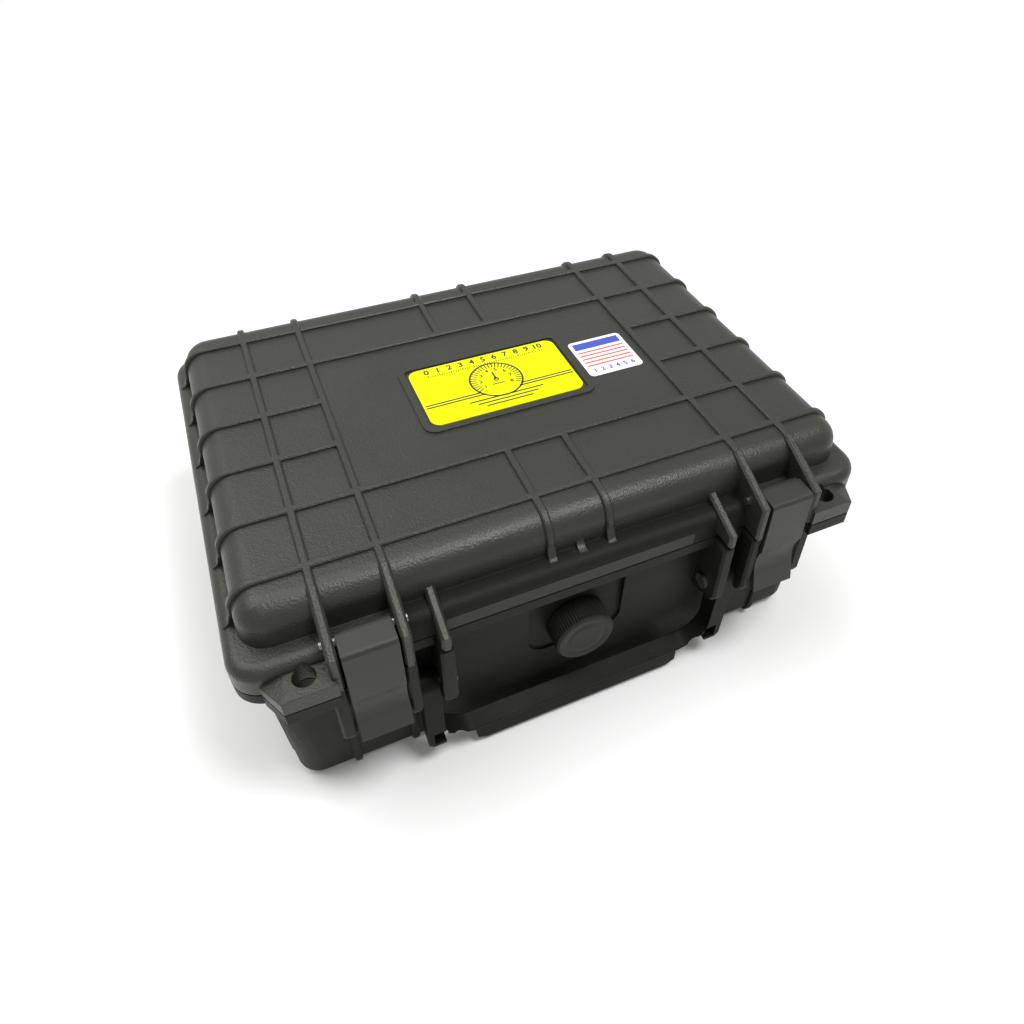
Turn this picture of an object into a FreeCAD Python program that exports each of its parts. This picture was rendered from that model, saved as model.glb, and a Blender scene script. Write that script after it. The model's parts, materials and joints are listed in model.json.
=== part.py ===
import FreeCAD, Part
import math
import os
from FreeCAD import Vector

# Headset, helmet and intercom tester in a closed protective case.
# Millimetres. X runs right along the front, Y to the back, Z up from the underside ribs.

# Case outline and heights
RIM_LENGTH = 245.0
RIM_WIDTH = 180.0
RIM_CORNER = 11.0
SEAM_HEIGHT = 80.6
SEAM_GAP = 0.6
BAND_HEIGHT = 5.3
BAND_EDGE = 1.0
FLANGE_HEIGHT = 10.8
FLANGE_EDGE = 4.4
LID_RISE = 15.3
LID_SIDE_INSET = 5.7
LID_FRONT_INSET = 8.3
LID_CORNER = 10.5
LID_EDGE = 9.0
LID_DRAFT = 0.06
BASE_SIDE_INSET = 6.3
BASE_FRONT_INSET = 6.0
BASE_CORNER = 12.0
BASE_EDGE = 6.5
FLOOR_END_INSET = 6.2
FLOOR_SIDE_INSET = 13.0
BASE_DRAFT = 0.047
WALL = 3.0

# Moulded ribs: places from the centre lines of the case
RIB_WIDTH = 3.0
RIB_HEIGHT = 1.4
RIB_EDGE = 0.6
RIB_X_INNER = 11.6
RIB_X_MIDDLE = 68.1
RIB_X_OUTER = 91.3
RIB_Y_INNER = 13.45
RIB_Y_MIDDLE = 40.5
RIB_Y_OUTER = 66.9
RIB_FOOT_RISE = 4.5
RIB_FOOT_RUN = 2.4
STUB_RISE = 3.0
STUB_RUN = 3.8

# Front webs that carry the latches and the handle
WEB_REACH = 8.5
WEB_BEND_DROP = 9.5
WEB_EDGE = 0.9
LID_WEB_WIDTH = 3.6
BASE_WEB_WIDTH = 4.2
OUTER_WEB_WIDTH = 5.2
HANDLE_WEB_X = 55.6
HANDLE_WEB_WIDTH = 5.2
HANDLE_STOP_WIDTH = 3.6
HANDLE_STOP_RISE = 4.8
BASE_WEB_DROP = 32.0
BASE_WEB_ROUND = 4.0

# Padlock ears at the front corners
EAR_REACH = 9.8
EAR_END_INSET = 13.6
EAR_ROOT_INSET = 8.4
EAR_TOP_DROP = 4.2
EAR_PAD_INSET = 16.2
EAR_SLOPE_DROP = 2.6
PADLOCK_HOLE_R = 3.8
PADLOCK_HOLE_INSET = 22.0
PADLOCK_HOLE_REACH = 3.0

# Raised frame and the labels on the lid
FRAME_LENGTH = 73.0
FRAME_WIDTH = 44.0
FRAME_BORDER = 2.8
FRAME_RAISE = 0.8
FRAME_CORNER = 5.0
LABEL_GAP = 1.0
LABEL_THICK = 0.4
LABEL_CORNER = 4.0
STICKER_SIDE = 25.0
STICKER_GAP = 1.3
STICKER_RIB_GAP = 3.8
STICKER_Y = -0.7
STICKER_CORNER = 2.0
STICKER_THICK = 0.2
STRIP_LEFT = -53.0
STRIP_RIGHT = 43.6
STRIP_TALL = 5.6
STRIP_RISE = 0.5
STRIP_THICK = 0.15

# Lid seal
GROOVE_INSET = 2.4
GROOVE_WIDTH = 3.6
GROOVE_DEPTH = 4.0
GASKET_HEIGHT = 3.2
GASKET_SIDE_GAP = 0.05
TONGUE_WIDTH = 1.6
TONGUE_GAP = 0.2

# Hinge at the back
HINGE_REACH = 6.0
KNUCKLE_R = 4.6
HINGE_PIN_R = 1.5
HINGE_LUG_X = 63.5
HINGE_LUG_WIDTH = 12.0
HINGE_LUG_RISE = 17.0
HINGE_EAR_WIDTH = 5.0
HINGE_EAR_DROP = 11.0
HINGE_SIDE_GAP = 0.5

# Running clearance of pins and shafts, and side play of what they carry
RUN_GAP = 0.06
SIDE_PLAY = 0.4

# Latches
LATCH_PIN_R = 1.5
LATCH_PIN_INSET = 1.1
LATCH_PIN_RISE = 2.5
LATCH_PIN_PROUD = 0.8
LATCH_BARREL_R = 2.7
LATCH_TOP_RISE = 3.6
LATCH_THICK = 2.8
LATCH_DROP = 43.8
LATCH_HOLLOW = 1.9
LATCH_FLARE = 1.6
LATCH_HOOK_TALL = 3.4
LATCH_HOOK_GAP = 0.8
CATCH_REACH = 4.2
CATCH_BITE = 2.2

# Handle
HANDLE_PIVOT_DROP = 26.2
HANDLE_PIVOT_INSET = 0.6
HANDLE_PIN_R = 2.0
HANDLE_HEAD_R = 3.3
HANDLE_HEAD_TALL = 1.2
HANDLE_EYE_R = 4.7
HANDLE_DROP = 40.8
HANDLE_FOOT_THICK = 6.4
HANDLE_BAR_RISE = 3.9
HANDLE_BAR_SLOPE = 0.45
HANDLE_INNER_R = 12.0
HANDLE_ARCH = 6.5
HANDLE_FOOT_EDGE = 2.0
GRIP_LENGTH = 91.0
GRIP_THICK = 3.6
GRIP_SETBACK = 1.2
GRIP_DROP = 10.4
GRIP_BEVEL = 4.0
NOTCH_WIDTH = 4.6
NOTCH_FLOOR = 1.6
NOTCH_TALL = 7.5
NOTCH_DEEP = 3.0

# Pressure relief valve in the front wall
VALVE_DROP = 32.2
VALVE_SEAT_INSET = 8.9
VALVE_RECESS_LENGTH = 40.0
VALVE_RECESS_DROP = 13.0
VALVE_RECESS_CORNER = 8.0
VALVE_BOSS_MARGIN = 4.0
VALVE_BOSS_WALL = 3.5
VALVE_KNOB_R = 12.25
VALVE_KNOB_TALL = 10.3
VALVE_KNOB_GAP = 0.6
VALVE_KNURLS = 48
VALVE_KNURL_DEEP = 0.5
VALVE_DISH_R = 8.6
VALVE_DISH_DEEP = 0.5
VALVE_STEM_R = 4.0
VALVE_STEM_GRIP = 6.0
VALVE_LIFT = 1.2
VALVE_COLLAR_R = 7.0
VALVE_COLLAR_TALL = 3.0
SEAL_RING_R = 8.6
SEAL_CORD_R = 1.2
SEAL_GAP = 0.1

# Instrument panel and its posts
PANEL_DROP = 5.6
PANEL_THICK = 2.0
PANEL_GAP = 0.5
POST_R = 4.5
POST_WALL_INSET = 3.2
POST_MIDDLE_X = 40.0
SCREW_R = 1.4
SCREW_GRIP = 8.0
SCREW_HEAD_R = 2.8
SCREW_HEAD_TALL = 1.8
SCREW_HOLE_GAP = 0.2

# Test jacks: one bush and nut size, three plug bores
JACK_X = -72.0
JACK_PITCH = 36.0
JACK_BUSH_R = 4.75
JACK_BUSH_TALL = 5.0
JACK_BODY_R = 8.0
JACK_BODY_TALL = 28.0
JACK_END_WALL = 2.0
JACK_NUT_FLATS = 14.0
JACK_NUT_TALL = 2.4
PHONES_BORE_R = 3.22
MIC_BORE_R = 2.66
HELMET_BORE_R = 3.6

# Rotary controls
CONTROL_DEPTH = 10.0
CONTROL_BUSH_R = 4.5
CONTROL_BUSH_TALL = 5.0
CONTROL_SHAFT_R = 3.0
CONTROL_SHAFT_TALL = 14.0
CONTROL_SHAFT_FOOT = 2.0
POT_BODY_R = 8.5
VOLUME_X = 0.0
VOLUME_Y = -34.0
VOLUME_KNOB_R = 9.5
VOLUME_KNOB_TALL = 13.0
VOLUME_FLUTES = 12
VOLUME_FLUTE_R = 1.5
MODE_X = 56.0
MODE_Y = -34.0
MODE_BODY_R = 12.0
MODE_SKIRT_R = 12.0
MODE_SKIRT_TALL = 3.0
MODE_POINTER_WIDTH = 8.0
MODE_KNOB_TALL = 14.0
KNOB_LIFT = 0.5

# Toggle, push button and lamps
POWER_X = 56.0
POWER_Y = 34.0
POWER_BODY_LENGTH = 13.0
POWER_BODY_WIDTH = 8.0
POWER_BUSH_R = 3.2
POWER_BUSH_TALL = 6.0
POWER_BORE_R = 2.1
POWER_PIVOT_R = 1.7
POWER_PIVOT_LENGTH = 2.0
POWER_LEVER_R = 1.0
POWER_TIP_R = 1.6
POWER_LEVER_TALL = 12.0
POWER_TILT = 11.0
TALK_X = 0.0
TALK_Y = 34.0
TALK_BUSH_R = 7.0
TALK_BUSH_TALL = 4.0
TALK_BUTTON_R = 4.8
TALK_RISE = 3.0
TALK_TRAVEL = 2.0
TALK_PLAY = 0.2
LAMP_X = -36.0
LAMP_PITCH = 20.0
LAMP_BEZEL_R = 4.2
LAMP_BEZEL_TALL = 1.6
LAMP_LENS_R = 2.5
LAMP_BODY_TALL = 8.0

# Circuit board behind the panel
BOARD_LENGTH = 186.0
BOARD_WIDTH = 112.0
BOARD_THICK = 1.6
BOARD_GAP = 0.4
BOARD_HOLE_MARGIN = 6.0
JACK_BOARD_GAP = 0.4
STANDOFF_R = 3.0
CHIP_LENGTH = 19.0
CHIP_WIDTH = 6.4
CHIP_TALL = 3.4
CHIP_X = -32.0
CHIP_PITCH = 18.0
CAN_R = 5.0
CAN_TALL = 12.0
CAN_X = -48.0
CAN_PITCH = 16.0
BATTERY_LENGTH = 48.5
BATTERY_WIDTH = 26.5
BATTERY_TALL = 17.5
BATTERY_X = 32.0
BATTERY_Y = 0.0
TRAY_WALL = 1.6
TRAY_PLAY = 0.3
TRAY_WALL_TALL = 12.0

# Heights and lines worked out from the sizes above
LID_FOOT = SEAM_HEIGHT + SEAM_GAP / 2
BASE_RIM = SEAM_HEIGHT - SEAM_GAP / 2
BAND_LOW = BASE_RIM - BAND_HEIGHT
FLANGE_TOP = LID_FOOT + FLANGE_HEIGHT
EAR_TOP = FLANGE_TOP - EAR_TOP_DROP
LID_TOP = FLANGE_TOP + LID_RISE
RIM_X = RIM_LENGTH / 2
RIM_Y = RIM_WIDTH / 2
LID_X = RIM_X - LID_SIDE_INSET
LID_Y = RIM_Y - LID_FRONT_INSET
BASE_X = RIM_X - BASE_SIDE_INSET
BASE_Y = RIM_Y - BASE_FRONT_INSET
WEB_FRONT = -RIM_Y - WEB_REACH
GROOVE_TOP = LID_FOOT + GROOVE_DEPTH
GASKET_LOW = GROOVE_TOP - GASKET_HEIGHT
HINGE_Y = RIM_Y + HINGE_REACH
HINGE_EAR_OUT = HINGE_LUG_WIDTH / 2 + HINGE_SIDE_GAP + HINGE_EAR_WIDTH
STICKER_ROOM = RIB_X_MIDDLE - RIB_WIDTH / 2 - FRAME_LENGTH / 2 - STICKER_SIDE
STICKER_FRAME_SPACE = STICKER_ROOM * STICKER_GAP / (STICKER_GAP + STICKER_RIB_GAP)
STICKER_X = FRAME_LENGTH / 2 + STICKER_FRAME_SPACE + STICKER_SIDE / 2
LATCH_LEFT_FACE = RIB_X_MIDDLE + BASE_WEB_WIDTH / 2 + SIDE_PLAY
LATCH_RIGHT_FACE = RIB_X_OUTER - BASE_WEB_WIDTH / 2 - SIDE_PLAY
LATCH_PIN_Y = -RIM_Y + LATCH_PIN_INSET
LATCH_PIN_Z = FLANGE_TOP + LATCH_PIN_RISE
HANDLE_PIVOT_Y = -RIM_Y + HANDLE_PIVOT_INSET
HANDLE_PIVOT_Z = BASE_RIM - HANDLE_PIVOT_DROP
HANDLE_ARM_IN = HANDLE_WEB_X + HANDLE_WEB_WIDTH / 2 + SIDE_PLAY
HANDLE_ARM_OUT = RIB_X_MIDDLE - BASE_WEB_WIDTH / 2 - SIDE_PLAY
HANDLE_LOW = HANDLE_PIVOT_Z - HANDLE_DROP
VALVE_Z = BASE_RIM - VALVE_DROP
VALVE_SEAT_Y = -RIM_Y + VALVE_SEAT_INSET
VALVE_BACK_Y = VALVE_SEAT_Y + VALVE_BOSS_WALL
VALVE_KNOB_Y = VALVE_SEAT_Y - VALVE_KNOB_GAP
VALVE_FACE_Y = VALVE_KNOB_Y - VALVE_KNOB_TALL
PANEL_TOP = SEAM_HEIGHT - PANEL_DROP
PANEL_LOW = PANEL_TOP - PANEL_THICK
BOARD_TOP = PANEL_LOW - CONTROL_DEPTH - BOARD_GAP
BOARD_LOW = BOARD_TOP - BOARD_THICK
POWER_PIVOT_Z = PANEL_TOP + POWER_BUSH_TALL - POWER_PIVOT_R - 1.2

AXIS_X = Vector(1, 0, 0)
AXIS_Y = Vector(0, 1, 0)
AXIS_Z = Vector(0, 0, 1)


def outline(half_x, half_y, corner, z):
    """Level rectangle with round corners, as a closed wire."""
    centres = [(half_x - corner, corner - half_y), (half_x - corner, half_y - corner),
               (corner - half_x, half_y - corner), (corner - half_x, corner - half_y)]
    arcs = []
    for turn, (x, y) in enumerate(centres):
        circle = Part.Circle(Vector(x, y, z), AXIS_Z, corner)
        start = math.radians(90 * turn - 90)
        arcs.append(Part.Arc(circle, start, start + math.pi / 2).toShape())
    edges = []
    for turn, arc in enumerate(arcs):
        edges.append(arc)
        edges.append(Part.makeLine(arc.Vertexes[-1].Point, arcs[(turn + 1) % 4].Vertexes[0].Point))
    return Part.Wire(Part.__sortEdges__(edges))


def plate(half_x, half_y, corner, low, high, x=0.0, y=0.0):
    """Flat plate or prism with round corners, standing from low to high."""
    solid = Part.Face(outline(half_x, half_y, corner, low)).extrude(Vector(0, 0, high - low))
    return solid.translated(Vector(x, y, 0))


def ring_plate(half_x, half_y, corner, width, low, high):
    """Closed band of even width that follows a rounded rectangle inwards."""
    outer = plate(half_x, half_y, corner, low, high)
    return outer.cut(plate(half_x - width, half_y - width, corner - width, low - 1, high + 1))


def block(x0, x1, y0, y1, z0, z1):
    """Plain block between three pairs of faces."""
    return Part.makeBox(x1 - x0, y1 - y0, z1 - z0, Vector(x0, y0, z0))


def post(radius, low, high, x=0.0, y=0.0):
    """Upright cylinder."""
    return Part.makeCylinder(radius, high - low, Vector(x, y, low), AXIS_Z)


def rod_x(radius, x0, x1, y, z):
    """Cylinder lying along X."""
    return Part.makeCylinder(radius, x1 - x0, Vector(x0, y, z), AXIS_X)


def rod_y(radius, y0, y1, x, z):
    """Cylinder lying along Y."""
    return Part.makeCylinder(radius, y1 - y0, Vector(x, y0, z), AXIS_Y)


def side_profile(points, x0, x1):
    """Outline drawn in the YZ plane and carried along X."""
    corners = [Vector(x0, y, z) for y, z in points]
    return Part.Face(Part.makePolygon(corners + corners[:1])).extrude(Vector(x1 - x0, 0, 0))


def plan_profile(points, z0, z1):
    """Outline drawn in the XY plane and carried along Z."""
    corners = [Vector(x, y, z0) for x, y in points]
    return Part.Face(Part.makePolygon(corners + corners[:1])).extrude(Vector(0, 0, z1 - z0))


def front_profile(points, y0, y1):
    """Outline drawn in the XZ plane and carried along Y."""
    corners = [Vector(x, y0, z) for x, z in points]
    return Part.Face(Part.makePolygon(corners + corners[:1])).extrude(Vector(0, y1 - y0, 0))


def mirrored(solid):
    """The same solid on the other side of the case's middle plane."""
    return solid.mirror(Vector(0, 0, 0), AXIS_X)


def both_sides(solids):
    """Each solid with its mirror image."""
    return solids + [mirrored(solid) for solid in solids]


def level_edges(solid, z):
    """Edges that lie at one height."""
    return [e for e in solid.Edges if all(abs(v.Z - z) < 1e-4 for v in e.Vertexes)]


def lid_body(grow, foot):
    """Drafted lid dome, grown or shrunk evenly, standing on foot."""
    def section(z):
        change = grow - LID_DRAFT * (z - FLANGE_TOP)
        return outline(LID_X + change, LID_Y + change, LID_CORNER + change, z)
    solid = Part.makeLoft([section(foot), section(LID_TOP + grow)], True, True)
    return solid.makeFillet(LID_EDGE + grow, level_edges(solid, LID_TOP + grow))


def base_body(grow, top):
    """Drafted base tub, grown or shrunk evenly, up to top."""
    def section(z):
        change = grow + BASE_DRAFT * (z - BAND_LOW)
        return outline(BASE_X + change, BASE_Y + change, BASE_CORNER + change, z)
    floor = RIB_HEIGHT - grow
    solid = Part.makeLoft([section(floor), section(top)], True, True)
    return solid.makeFillet(BASE_EDGE + grow, level_edges(solid, floor))


def soft_rib(body, slab, axis, place, seat):
    """Slice of a grown body, with its outer long edges broken."""
    rib = body.common(slab)
    chosen = []
    for edge in rib.Edges:
        offs = [abs(abs(getattr(v, axis) - place) - RIB_WIDTH / 2) for v in edge.Vertexes]
        if max(offs) > 1e-4:
            continue
        if all(abs(v.Z - seat) < 1e-4 for v in edge.Vertexes):
            continue
        chosen.append(edge)
    return rib.makeChamfer(RIB_EDGE, chosen)


def rib_along_y(body, x, y0, y1, z0, z1, seat):
    """Rib that runs front to back at x."""
    slab = block(x - RIB_WIDTH / 2, x + RIB_WIDTH / 2, y0, y1, z0, z1)
    return soft_rib(body, slab, "X", x, seat)


def rib_along_x(body, y, x0, x1, z0, z1, seat):
    """Rib that runs left to right at y."""
    slab = block(x0, x1, y - RIB_WIDTH / 2, y + RIB_WIDTH / 2, z0, z1)
    return soft_rib(body, slab, "Y", y, seat)


def lid_ribs():
    """Grid of low ribs over the lid, with feet that flare onto the flange."""
    seat = FLANGE_TOP - 1
    body = lid_body(RIB_HEIGHT, seat)
    high = LID_TOP + 2 * RIB_HEIGHT
    ribs = []
    for x in (RIB_X_MIDDLE, RIB_X_OUTER):
        ribs.append(rib_along_y(body, x, -RIM_Y, RIM_Y, seat, high, seat))
    for side in (-1, 1):
        near, far = sorted((side * RIB_Y_MIDDLE, side * RIM_Y))
        ribs.append(rib_along_y(body, RIB_X_INNER, near, far, seat, high, seat))
        ribs.append(rib_along_x(body, side * RIB_Y_INNER, RIB_X_MIDDLE, RIM_X, seat, high, seat))
    ribs = both_sides(ribs)
    for y in (RIB_Y_MIDDLE, RIB_Y_OUTER):
        for side in (-1, 1):
            ribs.append(rib_along_x(body, side * y, -RIM_X, RIM_X, seat, high, seat))
    return ribs + lid_rib_feet()


def rib_foot(wall, rise, run):
    """Hollow curve from the ribbed wall of the lid down to the flange, as (out, height) points."""
    lean = wall - LID_DRAFT * rise
    return [(wall - 3, FLANGE_TOP + rise), (lean, FLANGE_TOP + rise), (wall + run * 0.12, FLANGE_TOP + rise * 0.45),
            (wall + run * 0.45, FLANGE_TOP + rise * 0.15), (wall + run, FLANGE_TOP), (wall + run, FLANGE_TOP - 1.5),
            (wall - 3, FLANGE_TOP - 1.5)]


def lid_rib_feet():
    """Small gussets where the ribs of the lid wall meet the flange, and the stub at the front middle."""
    half = RIB_WIDTH / 2
    face = rib_foot(LID_Y + RIB_HEIGHT, RIB_FOOT_RISE, RIB_FOOT_RUN)
    front = [(-y, z) for y, z in face]
    feet = [side_profile(front, RIB_X_INNER - half, RIB_X_INNER + half)]
    for x in (RIB_X_INNER, RIB_X_MIDDLE, RIB_X_OUTER):
        feet.append(side_profile(face, x - half, x + half))
    side = rib_foot(LID_X + RIB_HEIGHT, RIB_FOOT_RISE, RIB_FOOT_RUN)
    for y in (RIB_Y_INNER, RIB_Y_MIDDLE, RIB_Y_OUTER):
        for sign in (-1, 1):
            feet.append(front_profile(side, sign * y - half, sign * y + half))
    stub = [(-y, z) for y, z in rib_foot(LID_Y, STUB_RISE, STUB_RUN)]
    return both_sides(feet) + [side_profile(stub, -half, half)]


def soft_web(points, x, width):
    """Upright web across X with its front edges broken."""
    web = side_profile(points, x - width / 2, x + width / 2)
    front = min(y for y, z in points)
    chosen = []
    for edge in web.Edges:
        ends = edge.Vertexes
        flat = abs(ends[0].X - ends[1].X) < 1e-4
        if flat and min(v.Y for v in ends) < front + 0.3:
            chosen.append(edge)
    return web.makeChamfer(WEB_EDGE, chosen)


def lid_webs():
    """Front webs of the lid: latch cheeks and the handle stops."""
    start = -LID_Y + LID_EDGE - 3
    cheek = [(start, LID_TOP + RIB_HEIGHT - 0.2), (WEB_FRONT, LID_TOP - WEB_BEND_DROP),
             (WEB_FRONT, LID_FOOT), (start, LID_FOOT)]
    stop_top = FLANGE_TOP + HANDLE_STOP_RISE
    stop = [(-LID_Y + 2, stop_top), (WEB_FRONT, stop_top - 8.0),
            (WEB_FRONT, LID_FOOT + 1.4), (-LID_Y + 2, LID_FOOT + 1.4)]
    webs = [soft_web(cheek, x, LID_WEB_WIDTH) for x in (RIB_X_MIDDLE, RIB_X_OUTER)]
    webs.append(soft_web(stop, HANDLE_WEB_X, HANDLE_STOP_WIDTH))
    return both_sides(webs)


def ear(low, high):
    """Padlock ear at the right front corner; the lid's ear falls away on its outer side."""
    plan = [(RIB_X_OUTER, -LID_Y), (RIB_X_OUTER, -RIM_Y - EAR_REACH),
            (RIM_X - EAR_END_INSET, -RIM_Y - EAR_REACH),
            (RIM_X - EAR_ROOT_INSET, -RIM_Y), (RIM_X - EAR_ROOT_INSET, -LID_Y)]
    solid = plan_profile(plan, low, high)
    if high < SEAM_HEIGHT:
        return solid
    bevel = [(RIB_X_OUTER - 1, low - 1), (RIB_X_OUTER - 1, high), (RIM_X - EAR_PAD_INSET, high),
             (RIM_X - EAR_ROOT_INSET, high - EAR_SLOPE_DROP), (RIM_X, high - 2 * EAR_SLOPE_DROP), (RIM_X, low - 1)]
    return solid.common(front_profile(bevel, -RIM_Y - EAR_REACH - 1, -LID_Y + 1))


def padlock_hole():
    """Upright hole through the right ear of lid and base."""
    x = RIM_X - PADLOCK_HOLE_INSET
    return post(PADLOCK_HOLE_R, BAND_LOW - 5, LID_TOP, x, -RIM_Y - PADLOCK_HOLE_REACH)


def hinge_lug(x0, x1):
    """Lid knuckle with its web down the back of the lid."""
    web = [(LID_Y - 1, FLANGE_TOP + HINGE_LUG_RISE - 8), (LID_Y + 2, FLANGE_TOP + HINGE_LUG_RISE - 8),
           (HINGE_Y + KNUCKLE_R * 0.8, SEAM_HEIGHT + KNUCKLE_R * 0.6), (HINGE_Y, LID_FOOT),
           (LID_Y - 1, LID_FOOT)]
    return side_profile(web, x0, x1).fuse(rod_x(KNUCKLE_R, x0, x1, HINGE_Y, SEAM_HEIGHT))


def hinge_ear(x0, x1):
    """Base knuckle with its bracket up the back wall of the base."""
    web = [(BASE_Y - 1, BASE_RIM), (HINGE_Y, BASE_RIM), (HINGE_Y + KNUCKLE_R * 0.8, SEAM_HEIGHT - 2.6),
           (BASE_Y - 1, BAND_LOW - HINGE_EAR_DROP)]
    return side_profile(web, x0, x1).fuse(rod_x(KNUCKLE_R, x0, x1, HINGE_Y, SEAM_HEIGHT))


def lid_shell():
    """Moulded lid: ribbed dome, rounded flange, ears, webs and hinge lugs round one hollow."""
    flange = plate(RIM_X, RIM_Y, RIM_CORNER, LID_FOOT, FLANGE_TOP)
    flange = flange.makeFillet(FLANGE_EDGE, level_edges(flange, FLANGE_TOP))
    lug = hinge_lug(HINGE_LUG_X - HINGE_LUG_WIDTH / 2, HINGE_LUG_X + HINGE_LUG_WIDTH / 2)
    frame = ring_plate(FRAME_LENGTH / 2, FRAME_WIDTH / 2, FRAME_CORNER, FRAME_BORDER,
                       LID_TOP - 1, LID_TOP + FRAME_RAISE)
    pieces = [flange, frame] + lid_ribs() + lid_webs() + both_sides([ear(LID_FOOT, EAR_TOP), lug])
    solid = lid_body(0, FLANGE_TOP - 2).fuse(pieces)
    groove = ring_plate(RIM_X - GROOVE_INSET, RIM_Y - GROOVE_INSET, RIM_CORNER - GROOVE_INSET,
                        GROOVE_WIDTH, LID_FOOT - 1, GROOVE_TOP)
    hinge_bore = rod_x(HINGE_PIN_R + RUN_GAP, HINGE_LUG_X - HINGE_LUG_WIDTH, HINGE_LUG_X + HINGE_LUG_WIDTH,
                       HINGE_Y, SEAM_HEIGHT)
    pin_bore = rod_x(LATCH_PIN_R, HANDLE_WEB_X + HANDLE_WEB_WIDTH, RIM_X, LATCH_PIN_Y, LATCH_PIN_Z)
    cuts = [lid_body(-WALL, LID_FOOT - 1), groove] + both_sides([padlock_hole(), hinge_bore, pin_bore])
    return solid.cut(cuts).removeSplitter()


def lid_gasket():
    """Soft seal pressed to the top of the lid's groove."""
    gap = GASKET_SIDE_GAP
    inset = GROOVE_INSET + gap
    return ring_plate(RIM_X - inset, RIM_Y - inset, RIM_CORNER - inset, GROOVE_WIDTH - 2 * gap,
                      GASKET_LOW, GROOVE_TOP)


def label_plate():
    """Printed plate inside the raised frame."""
    inset = FRAME_BORDER + LABEL_GAP
    return plate(FRAME_LENGTH / 2 - inset, FRAME_WIDTH / 2 - inset, LABEL_CORNER,
                 LID_TOP, LID_TOP + LABEL_THICK)


def inspection_sticker():
    """Small square sticker beside the frame."""
    half = STICKER_SIDE / 2
    return plate(half, half, STICKER_CORNER, LID_TOP, LID_TOP + STICKER_THICK, STICKER_X, STICKER_Y)


def front_strip():
    """Thin tape on the front face of the flange."""
    low = LID_FOOT + STRIP_RISE
    return block(STRIP_LEFT, STRIP_RIGHT, -RIM_Y - STRIP_THICK, -RIM_Y, low, low + STRIP_TALL)


def latch_pins():
    """Steel pins of both latches, a little proud of the outer faces of their cheeks."""
    reach = LID_WEB_WIDTH / 2 + LATCH_PIN_PROUD
    pin = rod_x(LATCH_PIN_R, RIB_X_MIDDLE - reach, RIB_X_OUTER + reach,
                LATCH_PIN_Y, LATCH_PIN_Z)
    return Part.makeCompound(both_sides([pin]))


def latch_right():
    """Moulded draw latch: barrel, bent face with a finger hollow, and the hook behind it."""
    face = WEB_FRONT - 0.5
    top = LATCH_PIN_Z + LATCH_TOP_RISE
    low = LATCH_PIN_Z - LATCH_DROP
    hollow = face + LATCH_HOLLOW
    hook_top = BAND_LOW - LATCH_HOOK_GAP
    x0 = LATCH_LEFT_FACE

    def at(y, z):
        return Vector(x0, y, z)

    def sweep(shift, drop):
        """Line of the face, moved back by shift and with its top let down by drop."""
        bend = Part.Arc(at(face + 2.2 + shift, top - 0.1 - drop), at(face + 0.75 + shift, top - 0.75 - drop),
                        at(face + 0.3 + shift, top - 2.4 - drop)).toShape()
        front = Part.makeLine(bend.Vertexes[-1].Point, at(face + shift, BASE_RIM - 7))
        ease = Part.Arc(at(face + shift, BASE_RIM - 7), at(hollow + shift, BASE_RIM - 15),
                        at(face + 0.6 + shift, low + 8)).toShape()
        flare = Part.makeLine(ease.Vertexes[-1].Point, at(face - LATCH_FLARE + shift, low))
        return [bend, front, ease, flare]

    outer = sweep(0, 0)
    inner = sweep(LATCH_THICK, LATCH_THICK)
    start = at(LATCH_PIN_Y - 0.6, top)
    finish = at(LATCH_PIN_Y - 0.6, top - LATCH_THICK)
    edges = [Part.makeLine(start, outer[0].Vertexes[0].Point)] + outer
    edges.append(Part.makeLine(outer[-1].Vertexes[-1].Point, inner[-1].Vertexes[-1].Point))
    edges += inner
    edges.append(Part.makeLine(inner[0].Vertexes[0].Point, finish))
    edges.append(Part.makeLine(finish, start))
    skin = Part.Face(Part.Wire(Part.__sortEdges__(edges)))
    solid = skin.extrude(Vector(LATCH_RIGHT_FACE - x0, 0, 0))
    barrel = rod_x(LATCH_BARREL_R, x0, LATCH_RIGHT_FACE, LATCH_PIN_Y, LATCH_PIN_Z)
    tip = -RIM_Y - CATCH_REACH + CATCH_BITE
    hook = side_profile([(face + 1.6, hook_top), (tip, hook_top), (tip, hook_top - LATCH_HOOK_TALL / 2),
                         (face + 3.0, hook_top - LATCH_HOOK_TALL)], x0, LATCH_RIGHT_FACE)
    bore = rod_x(LATCH_PIN_R + RUN_GAP, x0 - 1, LATCH_RIGHT_FACE + 1, LATCH_PIN_Y, LATCH_PIN_Z)
    return solid.fuse([barrel, hook]).cut(bore).removeSplitter()


def base_ribs():
    """Low ribs across the underside that run up the walls to the rim band."""
    body = base_body(RIB_HEIGHT, BAND_LOW + 1)
    seat = BAND_LOW + 1
    ribs = []
    for x in (RIB_X_MIDDLE, RIB_X_OUTER):
        ribs.append(rib_along_y(body, x, -RIM_Y, RIM_Y, -1, seat, seat))
    ribs = both_sides(ribs)
    for y in (RIB_Y_MIDDLE, RIB_Y_OUTER):
        for side in (-1, 1):
            ribs.append(rib_along_x(body, side * y, -RIM_X, RIM_X, -1, seat, seat))
    return ribs


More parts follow.
